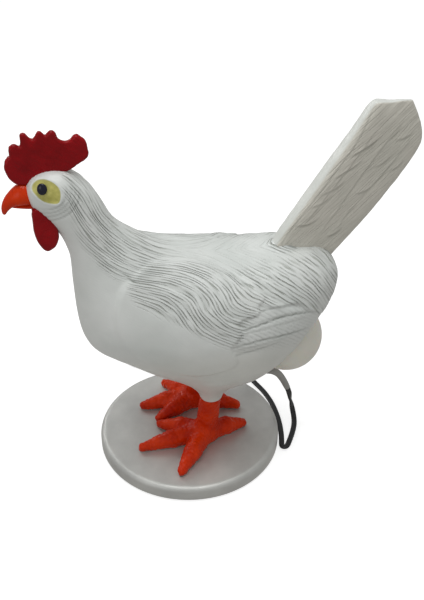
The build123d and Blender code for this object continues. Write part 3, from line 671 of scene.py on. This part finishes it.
# From the beak to the vent: the point on the back, the point on the throat, breast or belly (x, z), and half
# the width there.
BODY_SECTIONS = [
    ((-77, 174.5), (-75.2, 163.5), 4.8),
    ((-73, 179.8), (-71, 158), 9),
    ((-64, 182.4), (-65, 150), 11.5),
    ((-54.5, 179.9), (-61.5, 142), 12.5),
    ((-47, 172.5), (-59.6, 133), 13),
    ((-41, 161.5), (-59.4, 122), 14.5),
    ((-35.2, 150.5), (-59.2, 108), 18.5),
    ((-26, 142), (-58, 93), 24.5),
    ((-15.5, 135), (-52.5, 79.5), 30.5),
    ((-3, 130.8), (-38, 69.5), 35),
    ((11, 128), (-18, 57.5), 38.5),
    ((28, 127), (5, 48), 40),
    ((44, 126.5), (27.5, 47), 37.5),
    ((58, 126), (46, 56.5), 31),
    ((70, 123.5), (59, 70), 23.5),
    ((78, 116.5), (69.5, 83.5), 15.5),
    ((81, 106.5), (76, 94), 7),
]
LEG_X, LEG_Y, LEG_TOP = 10.0, {"left": -13.0, "right": 16.0}, 40.0
EGG_CENTRE, EGG_TILT, EGG_R = np.array([55.0, 0.0, 67.5]), radians(42.0), 20.0
EGG_DIR = np.array([cos(EGG_TILT), 0.0, -sin(EGG_TILT)])

# Areas of the side view, as (x, z): the neck's cape, the wing, what is combed into strands besides the cape, and
# the feathers that hang over the rump.
HACKLE = [(-57, 181), (-46, 174), (-40, 162), (-32, 153), (-12, 142), (6, 138), (2, 132), (-12, 127), (-22, 121),
          (-30, 115), (-38, 118), (-47, 128), (-53, 142), (-57, 158), (-58, 172)]
WING = [(-20, 122), (-30, 114.5), (-36.5, 104), (-38.5, 90), (-36.5, 75), (-28, 61), (-14, 51), (6, 46), (20, 47.5),
        (27, 50), (28, 57), (42, 60), (58, 64.5), (70, 71), (74, 79), (66, 83), (50, 88), (38, 96), (20, 112),
        (0, 123)]
COMBED = [(-20, 123), (-8, 128), (0, 138), (46, 137), (60, 130), (74, 126), (82, 118), (85, 104), (82, 92), (75, 80),
          (66, 83), (56, 88), (44, 87), (34, 78), (26, 64), (14, 68), (2, 78), (-12, 88), (-27, 100), (-30, 113)]
SADDLE = [(30, 137), (60, 129), (75, 126), (84, 116), (86, 100), (80, 85), (75, 79.5), (68, 82), (60, 87.5),
          (50, 86.5), (41, 90), (34, 100), (20, 112), (10, 124)]
# Lines that the feathers follow.
HACKLE_FLOW = [
    [(-60, 180), (-50, 176), (-44, 166), (-39, 156), (-30, 150), (-12, 141), (6, 137)],
    [(-57, 173), (-50, 164), (-44, 152), (-36, 141), (-24, 132), (-10, 127)],
    [(-57, 162), (-53, 148), (-46, 135), (-37, 124), (-28, 118)],
    [(-58, 150), (-56, 138), (-50, 125), (-44, 116)],
]
BODY_FLOW = [
    [(-14, 130), (10, 133), (35, 132), (52, 129), (66, 124), (77, 115), (83, 104)],
    [(-18, 124), (0, 126), (22, 123), (42, 117), (60, 107), (74, 94), (79, 86)],
    [(-10, 122), (8, 119), (24, 112), (38, 103), (50, 95), (62, 88)],
    [(-22, 119), (-8, 116), (3, 109), (9, 100), (10, 90)],
    [(-27, 114), (-17, 109), (-8, 101), (-3, 91), (-1, 82)],
    [(-33, 108), (-27, 103), (-20, 95), (-15, 86)],
    [(0, 118), (13, 110), (20, 100), (24, 91), (34, 85)],
    [(14, 98), (17, 88), (22, 79), (29, 73)],
    [(3, 86), (8, 76), (16, 68), (25, 61)],
]
# The small feathers of the wing, with the ragged edge that they end in.
COVERTS = [(-22, 122), (0, 126), (22, 112), (35, 100), (41.5, 92.5), (38.5, 88), (39.5, 84.5), (31, 81), (27.5, 78),
           (29.5, 72.5), (26.5, 66), (24, 61.5), (26.5, 56), (27.5, 50), (20, 46), (4, 45), (-14, 52), (-28, 66),
           (-32, 90), (-30, 110)]
# The edges of the flight feathers that show between the coverts and the saddle, with their depths.
FLIGHT_EDGES = [
    ([(39, 84.5), (46, 86.2), (53, 87)], 0.6),
    ([(30, 75.5), (40, 78), (51, 80.5), (70, 82.5)], 0.45),
    ([(28, 72.8), (40, 76), (50, 79), (72, 81.2)], 1.1),
    ([(28, 70.4), (38, 72), (50, 74.4), (66, 77.5)], 0.45),
    ([(25.5, 62.2), (40, 65), (58, 68), (67, 70.5)], 1.1),
    ([(25, 59.8), (42, 62.2), (58, 66.2)], 0.45),
    ([(27, 56.2), (38, 58.2), (52, 62.5)], 0.7),
]
EYE_PATCH = [(-73.9, 172.5), (-72.6, 175.4), (-69.4, 176.9), (-66.6, 176.4), (-63.3, 174.2), (-60.9, 170.6),
             (-60.8, 166.2), (-62.0, 163.2), (-65.5, 163.2), (-69.6, 165.2), (-72.2, 168.4)]


def body_rings(rows=240, columns=120):
    """Rings of the smooth body, squarer over the back than under the belly."""
    a = np.linspace(0, 2 * pi, columns, endpoint=False)
    power = np.where(np.sin(a) >= 0, 2 / 2.3, 2 / 2.02)
    across = np.sign(np.cos(a)) * np.abs(np.cos(a)) ** power
    along = np.sign(np.sin(a)) * np.abs(np.sin(a)) ** power
    return section_rings(BODY_SECTIONS, rows, along, across)


def pocket(x, y, z):
    """The distance to the hollow that the egg nests in."""
    px, py, pz = x - EGG_CENTRE[0], y - EGG_CENTRE[1], z - EGG_CENTRE[2]
    along = px * EGG_DIR[0] + pz * EGG_DIR[2]
    radius = np.sqrt(np.maximum((px - along * EGG_DIR[0]) ** 2 + py**2 + (pz - along * EGG_DIR[2]) ** 2, 0))
    wall = 21.3 - 3.2 * smoothstep(-7, -19, along)
    return np.maximum(radius - wall, -22.4 - along)


SIDE_VIEW = ((-92, 30), (92, 190))


def body_drawing():
    d = Drawing(*SIDE_VIEW)
    d.height += 1.15 * smoothstep(46, 66, d.z) * d.filled(WING, 4.8)
    d.height += 0.3 * d.filled(HACKLE, 6.0)
    d.height += 0.9 * smoothstep(-18, 14, d.x) * d.filled(COVERTS, 1.4)
    d.height += 1.3 * smoothstep(22, 56, d.x) * d.filled(SADDLE, 1.6)
    for line, depth in FLIGHT_EDGES:
        d.stroke(rounded(line, 24), depth, 0.5, 0.35)
    # barbs slant across the flight feathers, 4.3 mm apart, where the saddle doesn't cover them
    barbs = np.abs(((d.x + 1.67 * d.z + 1.2 * np.sin(d.z / 3)) / 4.3) % 1 - 0.5) * 2
    flight = smoothstep(24, 29, d.x) * smoothstep(76, 66, d.x) * smoothstep(55, 60, d.z) * smoothstep(87, 82, d.z)
    d.cut = np.maximum(d.cut, 0.42 * flight * smoothstep(0.35, 0.0, barbs) * (d.height < 1.6))
    # the nick where the wing leaves the neck
    d.stroke(rounded([(-31, 116), (-29, 114.2), (-27, 113)], 8), 1.0, 0.5, 0.4)
    return d


def draw_head(d):
    """Folds of the cheek round the eye patch, and the rim of the eye."""
    for k, radius in enumerate((9.6, 11.6, 13.6, 15.8)):
        a = np.radians(np.linspace(-118 + 6 * k, 8 - 3 * k, 26))
        d.stroke(np.stack([-67.0 + radius * np.cos(a), 169.5 + radius * np.sin(a)], -1), 0.6, 0.42)
    eye = d.inside(EYE_PATCH)
    d.height += 0.35 * np.exp(-(((eye - 0.6) / 0.7) ** 2)) - 0.35 * smoothstep(0.3, -1.2, eye)


def combed_mask(d):
    """Where the surface is carved into strands: 1 on the neck, back and wing and next to 0 elsewhere."""
    inside = np.minimum(d.inside(HACKLE), d.inside(COMBED))
    return 0.02 + 0.98 * smoothstep(3.0, -3.0, inside)


def strand_noise(across, along, size, layer=0):
    """Noise drawn out along the feathers. size is its grain across them and along them."""
    return noise(np.stack([across, along, 0 * across + layer], -1), (*size, 1.0))


def make_body():
    step = 0.78
    low, high = (-84.0, -46.0, 34.0), (88.0, 46.0, 188.0)
    points, faces = capped(body_rings())
    field = sampled_skin(points, faces, low, high, step, 7.5)
    x, y, z = np.meshgrid(*axes(low, high, step), indexing="ij", sparse=True)
    for side, leg_y in LEG_Y.items():
        thigh, _ = cone(x, y, z, (LEG_X - 1, leg_y * 1.1, 66), (LEG_X, leg_y, 44), 15.5, 7.2)
        field = union(field, np.maximum(thigh, LEG_TOP - z), 7.0)
    root, _ = cone(x, y, z, (47.5, 0, 119), (51.5, 0, 129.5), 7.0, 4.2)
    field = union(field, root, 5.0)
    field = carve(field, pocket(x, y, z), 1.2)
    field = soften(field, 2)
    points, quads = surface(field, low, step)
    normal = normals(points, quads)

    drawing = body_drawing()
    draw_head(drawing)
    seen, shows = side_view(points), smoothstep(0.0, 0.3, turned_to_view(points, normal))
    across, along = Strands(HACKLE_FLOW + BODY_FLOW, *SIDE_VIEW)(seen)
    bare_top = 0.75 * smoothstep(0.90, 0.99, normal[:, 2])
    feathered = drawing.at(combed_mask(drawing), seen) * shows * (1 - bare_top)
    locks = strand_noise(across, along, (1.25, 12.0))
    clumps = strand_noise(across, along, (2.3, 20.0), 5)
    furrow = smoothstep(0.05, -0.75, locks)
    cut, rise, height = (drawing.at(layer, seen) for layer in (drawing.cut, drawing.rise, drawing.height))
    outside = 1 - smoothstep(1.0, 0.2, pocket(*points.T))
    lumps = 0.22 * noise(points, 14.0) + 0.1 * noise(points + 50, 5.0)
    carved = height - 0.85 * cut + 0.4 * rise + feathered * (0.10 * locks - 0.16 * furrow + 0.2 * clumps)
    out = points + normal * (outside * (shows * carved + lumps - 0.5))[:, None]
    piece = add_mesh("hen_body", out, quads, MATERIALS["hen"], nodes=["body_shell"])
    on_head = (points[:, 0] < -55) & (np.abs(points[:, 1]) > 3)
    attributes(piece, across=across, along=along, feathered=feathered * outside,
               # painted shade in the grooves and furrows, darker where they are deeper
               groove=np.clip(0.75 * cut * shows + 0.2 * furrow * feathered, 0, 1),
               # painted shade: warmer and darker towards the bottom of the body
               warm=0.4 * smoothstep(70, 45, seen[:, 1]),
               eye_patch=np.where(on_head, np.clip(drawing.at(drawing.inside(EYE_PATCH), seen), -3, 3), 3.0))


make_body()

# ---------------------------------------------------------------- tail

# From root to tip: the leading edge, the trailing edge (x, z) and half the thickness at the leading edge.
TAIL_SECTIONS = [
    ((42, 121), (70, 104), 5),
    ((46.8, 132), (78.5, 119), 5.4),
    ((58, 149.8), (91, 134.5), 5.6),
    ((69.5, 168), (104, 152), 5.6),
    ((80.5, 185.2), (115.5, 170), 5),
    ((89, 199), (119.3, 184), 4.2),
    ((92.5, 203), (112, 202), 2.8),
]
# Half of the tail's section: how far towards the leading edge, -1 to 1, and the share of the thickness there.
TAIL_OUTLINE = [(1, 0.0), (0.995, 0.35), (0.97, 0.65), (0.9, 0.9), (0.78, 1.0), (0.5, 0.92), (0.1, 0.76),
                (-0.35, 0.6), (-0.75, 0.46), (-0.94, 0.32), (-1.0, 0.12)]


# The shafts of the tail feathers, and the edge between the narrow leading face and the flank.
TAIL_SHAFTS = [
    [(70, 130), (74, 135.7), (85.7, 154.9), (98.2, 174.8), (109, 191)],
    [(80, 133), (84.4, 140.5), (92.8, 151.3), (102.2, 163.2), (113, 178)],
    [(62, 137), (74, 154), (85, 170), (95, 186)],
]
TAIL_RIDGE = [(50, 127), (52.1, 130.7), (66.2, 151.2), (77.9, 168.4), (86.6, 182.5), (92.3, 199.3)]
# Curved feather tips, with their depths.
TAIL_TIPS = [
    ([(83.4, 173.2), (90.2, 176.9), (97.4, 182.2)], 1),
    ([(75.9, 161.7), (83.3, 166), (89.6, 170.1)], 0.8),
    ([(57.6, 136.3), (63.1, 136.4), (68.6, 139.6)], 0.9),
    ([(73.9, 128.1), (78.5, 129.3), (82, 132)], 0.8),
    ([(88, 151.8), (93.8, 153.6), (98, 157)], 0.7),
    ([(101.6, 179.9), (105.7, 183.6), (108, 187)], 0.6),
    ([(104.9, 163), (108.5, 165), (111.9, 169)], 0.6),
    ([(106, 180), (110.5, 181), (115.3, 184)], 0.6),
    ([(64, 146), (70, 148), (76, 152.5)], 0.6),
    ([(70, 153), (76, 155.5), (82, 160)], 0.7),
    ([(96, 166), (101, 168), (105, 172)], 0.5),
]


TAIL_VIEW = ((40, 100), (124, 208))


def tail_drawing():
    d = Drawing(*TAIL_VIEW)
    for line in TAIL_SHAFTS:
        d.stroke(rounded(line, 40), 0.45, 0.5, 0.3)
    d.stroke(rounded(TAIL_RIDGE, 50), 0.4, 0.5, 0.2)
    for line, depth in TAIL_TIPS:
        d.stroke(rounded(line, 16), depth, 0.65, 0.6)
    return d


TAIL_FLOW = [
    [(60, 134), (68, 142), (79, 154), (92, 164)],
    [(66, 148), (76, 160), (88, 170), (98, 178)],
    [(80, 168), (90, 178), (100, 186), (106, 192)],
    [(74, 128), (86, 138), (97, 148), (106, 158)],
    [(92, 150), (102, 161), (112, 170), (118, 178)],
]


def make_tail():
    step = 0.5
    low, high = (38.0, -10.0, 98.0), (126.0, 10.0, 210.0)
    section = rounded(TAIL_OUTLINE + [(u, -v) for u, v in TAIL_OUTLINE[:0:-1]], 100, closed=True)
    points, faces = capped(section_rings(TAIL_SECTIONS, 150, *section.T))
    field = sampled_skin(points, faces, low, high, step, 4.0)
    x, y, z = np.meshgrid(*axes(low, high, step), indexing="ij", sparse=True)
    notch, _ = cone(x, y, z, (101.5, 0, 212), (101.0, 0, 207.6), 5.0, 5.0)
    field = soften(carve(field, notch, 1.5))
    points, quads = surface(field, low, step)
    normal = normals(points, quads)
    drawing = tail_drawing()
    seen = side_view(points)
    flank = smoothstep(0.3, 0.75, np.abs(normal[:, 1]))
    cut, rise = drawing.at(drawing.cut, seen) * flank, drawing.at(drawing.rise, seen) * flank
    across, along = Strands(TAIL_FLOW, *TAIL_VIEW)(seen)
    locks = strand_noise(across, along, (1.5, 12.0))
    furrow = smoothstep(0.0, -0.8, locks) * flank
    lumps = 0.16 * noise(points, (7.0, 9.0, 13.0)) + 0.1 * noise(points + 9, 4.0)
    relief = 0.85 * rise - 0.7 * cut + (0.10 * locks - 0.04 * furrow) * (0.3 + 0.7 * flank)
    out = points + normal * (relief + lumps - 0.15)[:, None]
    piece = add_mesh("hen_tail", out, quads, MATERIALS["hen"], nodes=["tail_fan"])
    # painted shade: the tail's flanks warmer and darker than its leading face
    attributes(piece, across=across, along=along, feathered=0.08 + 0.14 * flank, warm=0.25 + 0.75 * flank,
               # painted shade in the tail's grooves and furrows
               groove=np.clip(0.45 * cut + 0.06 * furrow, 0, 1), eye_patch=np.full(len(out), 3.0))


make_tail()

# ---------------------------------------------------------------- comb, beak, wattles and eyes

COMB_OUTLINE = [
    (-81, 176), (-84, 180), (-85, 184.5), (-84.5, 187.5), (-83, 189.4), (-82.2, 190), (-82, 193), (-80.5, 195.6),
    (-78.6, 195.6), (-77.2, 194.6), (-76.6, 198), (-75.6, 200.8), (-74, 200.6), (-72.4, 198.2), (-70.6, 197.5),
    (-69.6, 199.2), (-67.8, 201.3), (-66, 200.4), (-65, 199.2), (-62.8, 200.8), (-60.6, 200.2), (-59.2, 197.2),
    (-57.2, 195.8), (-54.2, 195.8), (-52.6, 197.4), (-50.8, 198.2), (-48.8, 196.6), (-47.2, 195.2), (-46, 191),
    (-46.4, 187), (-48.6, 184.8), (-52, 182.8), (-55, 180.8), (-60, 179.4), (-68, 179), (-76, 175),
]


def flat_outline(x, z, outline, count):
    """The signed distance to an outline in x and z, over a grid."""
    flat = outline_distance(*np.meshgrid(x[:, 0, 0], z[0, 0], indexing="ij"), rounded(outline, count, closed=True))
    return flat[:, None, :]


def rounded_plate(flat, thick, edge):
    """The distance to a plate whose edges are rounded, from the distances to its outline and to its faces."""
    return np.sqrt(np.maximum(flat + edge, 0) ** 2 + np.maximum(thick + edge, 0) ** 2) - edge


# Turns x and z so that fine scratches slope down to the right.
LEAN = np.array([[0.72, 0, 0.7], [0, 1, 0], [0.7, 0, -0.72]])


def make_comb():
    step = 0.34
    low, high = (-89.0, -5.0, 170.0), (-42.0, 5.0, 205.0)
    x, y, z = np.meshgrid(*axes(low, high, step), indexing="ij", sparse=True)
    flat = flat_outline(x, z, COMB_OUTLINE, 260)
    half = 2.1 - 0.6 * smoothstep(184, 201, z)
    points, quads = surface(soften(rounded_plate(flat, np.abs(y) - half, 1.4)), low, step)
    normal = normals(points, quads)
    # shallow folds run from the foot of the comb up into its points
    angle = np.degrees(np.arctan2(points[:, 2] - 168, points[:, 0] + 64))
    folds = 0.15 * np.sin(angle / 3.2) * smoothstep(178, 190, points[:, 2])
    flecks = 0.16 * noise(points @ LEAN, (0.9, 3.0, 3.0)) + 0.12 * noise(points, 4.5)
    out = points + normal * (folds + flecks)[:, None]
    add_mesh("comb_cast", out, quads, MATERIALS["comb"], nodes=["comb"])


UPPER_BEAK = [
    ((-73.5, 174.6), (-72.5, 165.2), 4.4),
    ((-77, 175.6), (-76.2, 164.6), 5),
    ((-80.5, 175), (-79.2, 164.6), 4.8),
    ((-84.2, 172), (-82, 164.4), 3.9),
    ((-87.2, 168.3), (-84.6, 163.1), 2.8),
    ((-88.8, 164.2), (-86.2, 161.4), 1.8),
    ((-88.9, 161.2), (-87.2, 160.1), 0.9),
    ((-88.4, 160.1), (-87.9, 159.8), 0.3),
]
LOWER_BEAK = [
    ((-72.5, 166), (-72, 162.6), 3.6),
    ((-76.5, 165.8), (-76, 162.8), 3.6),
    ((-80.5, 165.2), (-80.2, 163.2), 2.7),
    ((-83.6, 164.4), (-83.4, 163.4), 1.3),
]


def beak_half(name, sections, node):
    """One half of the beak, broader below its middle."""
    a = np.linspace(0, 2 * pi, 48, endpoint=False)
    rings = section_rings(sections, 60, np.sin(a), np.cos(a) * (1 - 0.22 * np.sin(a)))
    points, faces = capped(rings)
    add_mesh(name, points, faces, MATERIALS["beak"], nodes=[node])


WATTLE_OUTLINE = [(-73.8, 165), (-75.2, 158.5), (-75.0, 152), (-73.0, 145.6), (-69.8, 142.2), (-66.6, 143.2),
                  (-64.2, 146.6), (-63.4, 151), (-64.4, 157), (-67, 161.8), (-70.5, 165)]


def make_wattle(side):
    step = 0.3
    low, high = (-79.0, -4.5, 138.0), (-59.5, 4.5, 169.0)
    x, y, z = np.meshgrid(*axes(low, high, step), indexing="ij", sparse=True)
    flat = flat_outline(x, z, WATTLE_OUTLINE, 120)
    depth = np.clip(-flat / 6.0, 0, 1)
    half = 0.9 + 1.9 * np.sqrt(1 - (1 - depth) ** 2)
    points, quads = surface(soften(rounded_plate(flat, np.abs(y) - half, 0.9), 2), low, step)
    normal = normals(points, quads)
    points = points + normal * (0.12 * noise(points + 20 * side, 3.0) + 0.06 * noise(points, 1.2))[:, None]
    lean = Matrix.Rotation(radians(6 * side), 3, "X")
    centre = np.array([-70.0, 0, 153.0])
    points = (points - centre) @ np.array(lean).T + centre + [0, 6.8 * side, 0]
    name = "left" if side < 0 else "right"
    add_mesh(f"wattle_cast_{name}", points, quads, MATERIALS["comb"], nodes=[f"wattle_{name}"])


def make_eye(side):
    a = np.linspace(0, pi / 2, 14)
    profile = [(0.0, -1.5)] + [(1.0 * cos(t), 0.55 * sin(t)) for t in a]
    points, faces = lathe(profile, np.zeros(3), (0, 0, 1), 40)
    normal = Vector((-0.26, side, 0.30)).normalized()
    turn = np.array(normal.to_track_quat("Z", "Y").to_matrix())
    scaled = points * [2.4, 2.8, 2.1]
    placed = scaled @ turn.T + np.array([-69.0, 9.6 * side, 176.6])
    name = "left" if side < 0 else "right"
    add_mesh(f"eye_dome_{name}", placed, faces, MATERIALS["eye"], nodes=[f"eye_{name}"])


make_comb()
beak_half("beak_top", UPPER_BEAK, "beak_upper")
beak_half("beak_under", LOWER_BEAK, "beak_lower")
for side in (-1, 1):
    make_wattle(side)
    make_eye(side)

# ---------------------------------------------------------------- base, feet and egg

BASE_R, BASE_TOP = 51.5, 9.5
# The middle of each foot and the tips of its toes, as (x, y).
FEET = {
    "left": ((7.5, -11), [(-17, 1.5), (-29.5, -15.5), (-11.5, -38.5), (30, -6.5)]),
    "right": ((6.5, 20), [(-17, 6.5), (-24, 19.5), (-8.5, 37), (30, 9.5)]),
}


def make_base():
    """The weighted disc: a slightly uneven top that rolls over into the side."""
    a = np.linspace(0, pi / 2, 12)
    profile = [(0.01, BASE_TOP)] + [(r, BASE_TOP) for r in np.arange(1.5, BASE_R - 3.6, 1.5)]
    profile += [(BASE_R - 3.2 + 3.2 * sin(t), BASE_TOP - 2.8 + 2.8 * cos(t)) for t in a]
    profile += [(BASE_R, 5.0), (BASE_R, 2.0), (BASE_R - 0.3, 1.3), (BASE_R - 0.9, 1.0), (0.01, 1.0)]
    points, faces = lathe(profile[::-1], np.zeros(3), (0, 0, 1), 200)
    top = smoothstep(6.0, 9.0, points[:, 2]) * smoothstep(52, 44, np.hypot(points[:, 0], points[:, 1]))
    points[:, 2] += top * (0.10 * noise(points, 16.0) - 0.12)
    add_mesh("base_cast", points, faces, MATERIALS["silver"], nodes=["base_disc"])


def make_foot(side):
    """Four scaly toes and the shank, run together."""
    step = 0.45
    middle, tips = FEET[side]
    ys = [middle[1]] + [t[1] for t in tips]
    low, high = (-35.0, min(ys) - 8, BASE_TOP - 1.0), (35.0, max(ys) + 8, 42.0)
    x, y, z = np.meshgrid(*axes(low, high, step), indexing="ij", sparse=True)
    root = np.array([*middle, 13.2])
    field = None
    for k, tip in enumerate(tips):
        end = np.array([*tip, BASE_TOP + 2.2])
        knuckle = root + 0.55 * (end - root) + [0, 0, 0.9]
        inner, t1 = cone(x, y, z, root, knuckle, 5.4, 5.0)
        outer, t2 = cone(x, y, z, knuckle, end, 5.0, 2.4)
        length = np.linalg.norm(end - root)
        run = (0.55 * t1 + 0.45 * t2) * length
        toe = union(inner, outer, 1.0) + 0.09 * np.cos(run * 2 * pi / 2.3 + k) * smoothstep(4, 8, run)
        field = toe if field is None else union(field, toe, 2.2)
    shank, t = cone(x, y, z, (*middle, 13.5), (LEG_X, LEG_Y[side], 44.0), 6.2, 5.7)
    shank = shank + 0.05 * np.cos(t * 30 * 2 * pi / 3.4)
    field = union(field, shank, 4.0)
    field = field - 0.45 * smoothstep(10.9, 9.7, z)
    field = np.maximum(field, BASE_TOP - z)
    field = np.maximum(field, z - 40.5)
    points, quads = surface(soften(field), low, step)
    normal = normals(points, quads)
    bumps = 0.30 * noise(points, 1.15) + 0.2 * noise(points + 31, 3.0)
    points = points + normal * bumps[:, None]
    points[:, 2] = np.maximum(points[:, 2], BASE_TOP - 0.15)
    add_mesh(f"foot_{side}", points, quads, MATERIALS["leg"], nodes=[f"leg_{side}"])


def make_egg():
    shoulder_r, shoulder = 14.5, -19.0
    waist = (shoulder**2 + (EGG_R - shoulder_r) ** 2) / (2 * (EGG_R - shoulder_r))
    profile = [(0.01, EGG_R)] + [(EGG_R * sin(t), EGG_R * cos(t)) for t in np.linspace(0.04, pi / 2, 40)]
    profile += [((waist**2 - h * h) ** 0.5 - (waist - EGG_R), h) for h in np.linspace(-1, shoulder, 20)]
    profile += [(11.0, shoulder), (11.0, -30.5), (9.3, -30.5), (9.3, -18.0), (0.01, -18.0)]
    points, faces = lathe(profile[::-1], EGG_CENTRE, EGG_DIR, 96)
    add_mesh("egg_shell", points, faces, MATERIALS["egg"], body="egg", nodes=["egg_shade"])


make_base()
for side in FEET:
    make_foot(side)
make_egg()

# ---------------------------------------------------------------- lead

CORD_W, CORD_T = 3.2, 1.6
GLAND_AT, GLAND_DIR = np.array([33.0, 0, 48.6]), np.array([cos(radians(26)), 0, -sin(radians(26))])
# Control points of the sleeve, of the lead to the switch, and of the lead's run from the switch to its coil and
# from the coil to the plug.
RELIEF_ROUTE = [
    tuple(GLAND_AT + GLAND_DIR * 2.2), tuple(GLAND_AT + GLAND_DIR * 11.0), (49.9, 0.6, 41.6), (54.9, 1.2, 35.2),
    (58.4, 1.9, 26.4),
]
LEAD_ROUTE = [
    RELIEF_ROUTE[-1], (59.8, 2.18, 22.88), (61.6, 4.2, 14.2), (63.5, 5.6, 6.6), (63.9, 2, 2), (62.5, -3.6, 1.7),
    (59.6, -10.2, 1.7), (55.9, -16.8, 1.7), (53.1, -21.4, 1.7), (50.2, -20.6, 1.7), (51.7, -15.2, 1.7),
    (53.3, -7.4, 1.7), (54.3, 1, 1.7), (54.5, 9.8, 1.7), (53.9, 19.4, 1.7), (51.8, 29.4, 1.7), (47.6, 40, 1.7),
    (45, 50.6, 1.7), (40.6, 60.8, 1.9), (34.4, 68, 4.2), (26, 68, 4.2),
]
LINK_ROUTE = [
    (-14, 68, 4.2), (-19.6, 68, 4.2), (-25.4, 72, 2.2), (-27.8, 79, 1.7), (-27.4, 87.6, 1.7),
    (-24.6, 95.6, 1.9), (-20.2, 101.4, 2.2),
]
TAIL_ROUTE = [
    (7, 125.6, 3.6), (14.6, 127, 2.6), (24.4, 126.8, 1.8), (35, 124.6, 1.7), (44.2, 120.2, 1.9),
    (50.2, 114, 2.9), (52, 107.4, 4.1), (52, 102, 4.1),
]
COIL_CENTRE, COIL_MEAN_R = (2.0, 104.0), 18.0


def spline_points(name, route):
    """Points along the smooth NURBS curve whose control points are the route's."""
    data = bpy.data.curves.new(name, "CURVE")
    data.dimensions = "3D"
    line = data.splines.new("NURBS")
    line.points.add(len(route) - 1)
    for point, place in zip(line.points, route):
        point.co = (*place, 1.0)
    line.order_u, line.use_endpoint_u, line.resolution_u = 3, True, 10
    holder = bpy.data.objects.new(name, data)
    mesh = bpy.data.meshes.new_from_object(holder)
    points = np.array([v.co[:] for v in mesh.vertices])
    bpy.data.objects.remove(holder)
    bpy.data.meshes.remove(mesh)
    keep = np.concatenate([[True], np.linalg.norm(np.diff(points, axis=0), axis=1) > 1e-4])
    return points[keep]


def swept(points, wide, sections):
    """Points and faces of a section carried along a line. At each point of it, wide is the way the section's
    width points and sections has its outline, as (across, up) pairs."""
    tangent = np.gradient(points, axis=0)
    tangent /= np.linalg.norm(tangent, axis=1)[:, None]
    wide = wide - (wide * tangent).sum(1)[:, None] * tangent
    wide /= np.linalg.norm(wide, axis=1)[:, None]
    up = np.cross(tangent, wide)
    return capped([p + s[:, :1] * w + s[:, 1:] * u for p, w, u, s in zip(points, wide, up, sections)])


def twin_section():
    """The outline of two insulated cores side by side, with the groove between them."""
    r, gap = CORD_T / 2, (CORD_W - CORD_T) / 2
    right = [(gap + r * cos(t), r * sin(t)) for t in np.radians(np.linspace(-115, 115, 13))]
    left = [(-u, -v) for u, v in right]
    return np.array(right + left)


def flat_lead(name, points, wide, nodes):
    made, faces = swept(points, wide, [twin_section()] * len(points))
    return add_mesh(name, made, faces, MATERIALS["cord"], nodes=nodes)


def level_across(points):
    """The level direction across a line that lies flat."""
    tangent = np.gradient(points, axis=0)
    return np.stack([-tangent[:, 1], tangent[:, 0], np.zeros(len(points))], -1)


def make_lead():
    """From the sleeve to the switch: the flat lead twists once as it drops, then lies on its flat."""
    points = spline_points("lead_line", LEAD_ROUTE)
    run = run_of(points)
    angle = np.radians(np.interp(run, [0, 6, 13, 22, 30], [70, 60, 0, 80, 90]))
    edge_on, flat_on = np.array([0.16, 0.98, 0.0]), np.array([0.98, -0.16, 0.0])
    hanging = np.cos(angle)[:, None] * edge_on + np.sin(angle)[:, None] * flat_on
    lying = level_across(points)
    lying /= np.maximum(np.linalg.norm(lying, axis=1), 1e-6)[:, None]
    lying *= np.sign((lying * flat_on).sum(1)[int(np.searchsorted(run, 34))])
    share = smoothstep(24, 36, run)[:, None]
    return flat_lead("lead_to_switch", points, hanging * (1 - share) + lying * share, ["cord_lead"]), points


def coil_turns():
    """The put-away length: seven turns in four flat layers, wound in and out by turns."""
    start, end, layers, step_up, turns = radians(187), radians(77), 4, 0.3, 7
    whole = turns + (start - end) / (2 * pi)
    winding = (whole - (layers - 1) * step_up) / layers
    made = []
    for k in range(1, int(whole * 14)):
        tau = k / int(whole * 14) * whole
        layer = min(int(tau / (winding + step_up)), layers - 1)
        into = tau - layer * (winding + step_up)  # turns since this layer began
        share = min(into / winding, 1.0)
        radius = COIL_MEAN_R - 0.8 + 2.6 * (1 - 2 * share) * (1 if layer % 2 == 0 else -1)
        rise = max(into - winding, 0) / step_up
        angle = start - tau * 2 * pi
        made.append((COIL_CENTRE[0] + radius * cos(angle), COIL_CENTRE[1] + radius * sin(angle),
                     0.95 + 1.72 * (layer + rise)))
    return made


def make_supply():
    """From the switch through the put-away coil to the plug."""
    points = spline_points("supply_line", LINK_ROUTE[:-1] + coil_turns() + TAIL_ROUTE[1:])
    return flat_lead("lead_to_plug", points, level_across(points), ["cord_link", "cord_tail", "cord_coil"]), points


def make_relief():
    """The soft sleeve, thinner towards its open end."""
    points = spline_points("relief_line", RELIEF_ROUTE)
    run = run_of(points) / run_of(points)[-1]
    a = np.linspace(0, 2 * pi, 28, endpoint=False)
    circle = np.stack([np.cos(a), np.sin(a)], -1)
    radius = np.interp(run, [0, 0.06, 0.94, 1], [2.35, 2.3, 1.85, 1.7])
    across = np.tile([0.0, 1.0, 0.0], (len(points), 1))
    made, faces = swept(points, across, circle * radius[:, None, None])
    return add_mesh("relief_sleeve", made, faces, MATERIALS["relief"], nodes=["strain_relief"])


lead, lead_line = make_lead()
supply, supply_line = make_supply()
relief = make_relief()
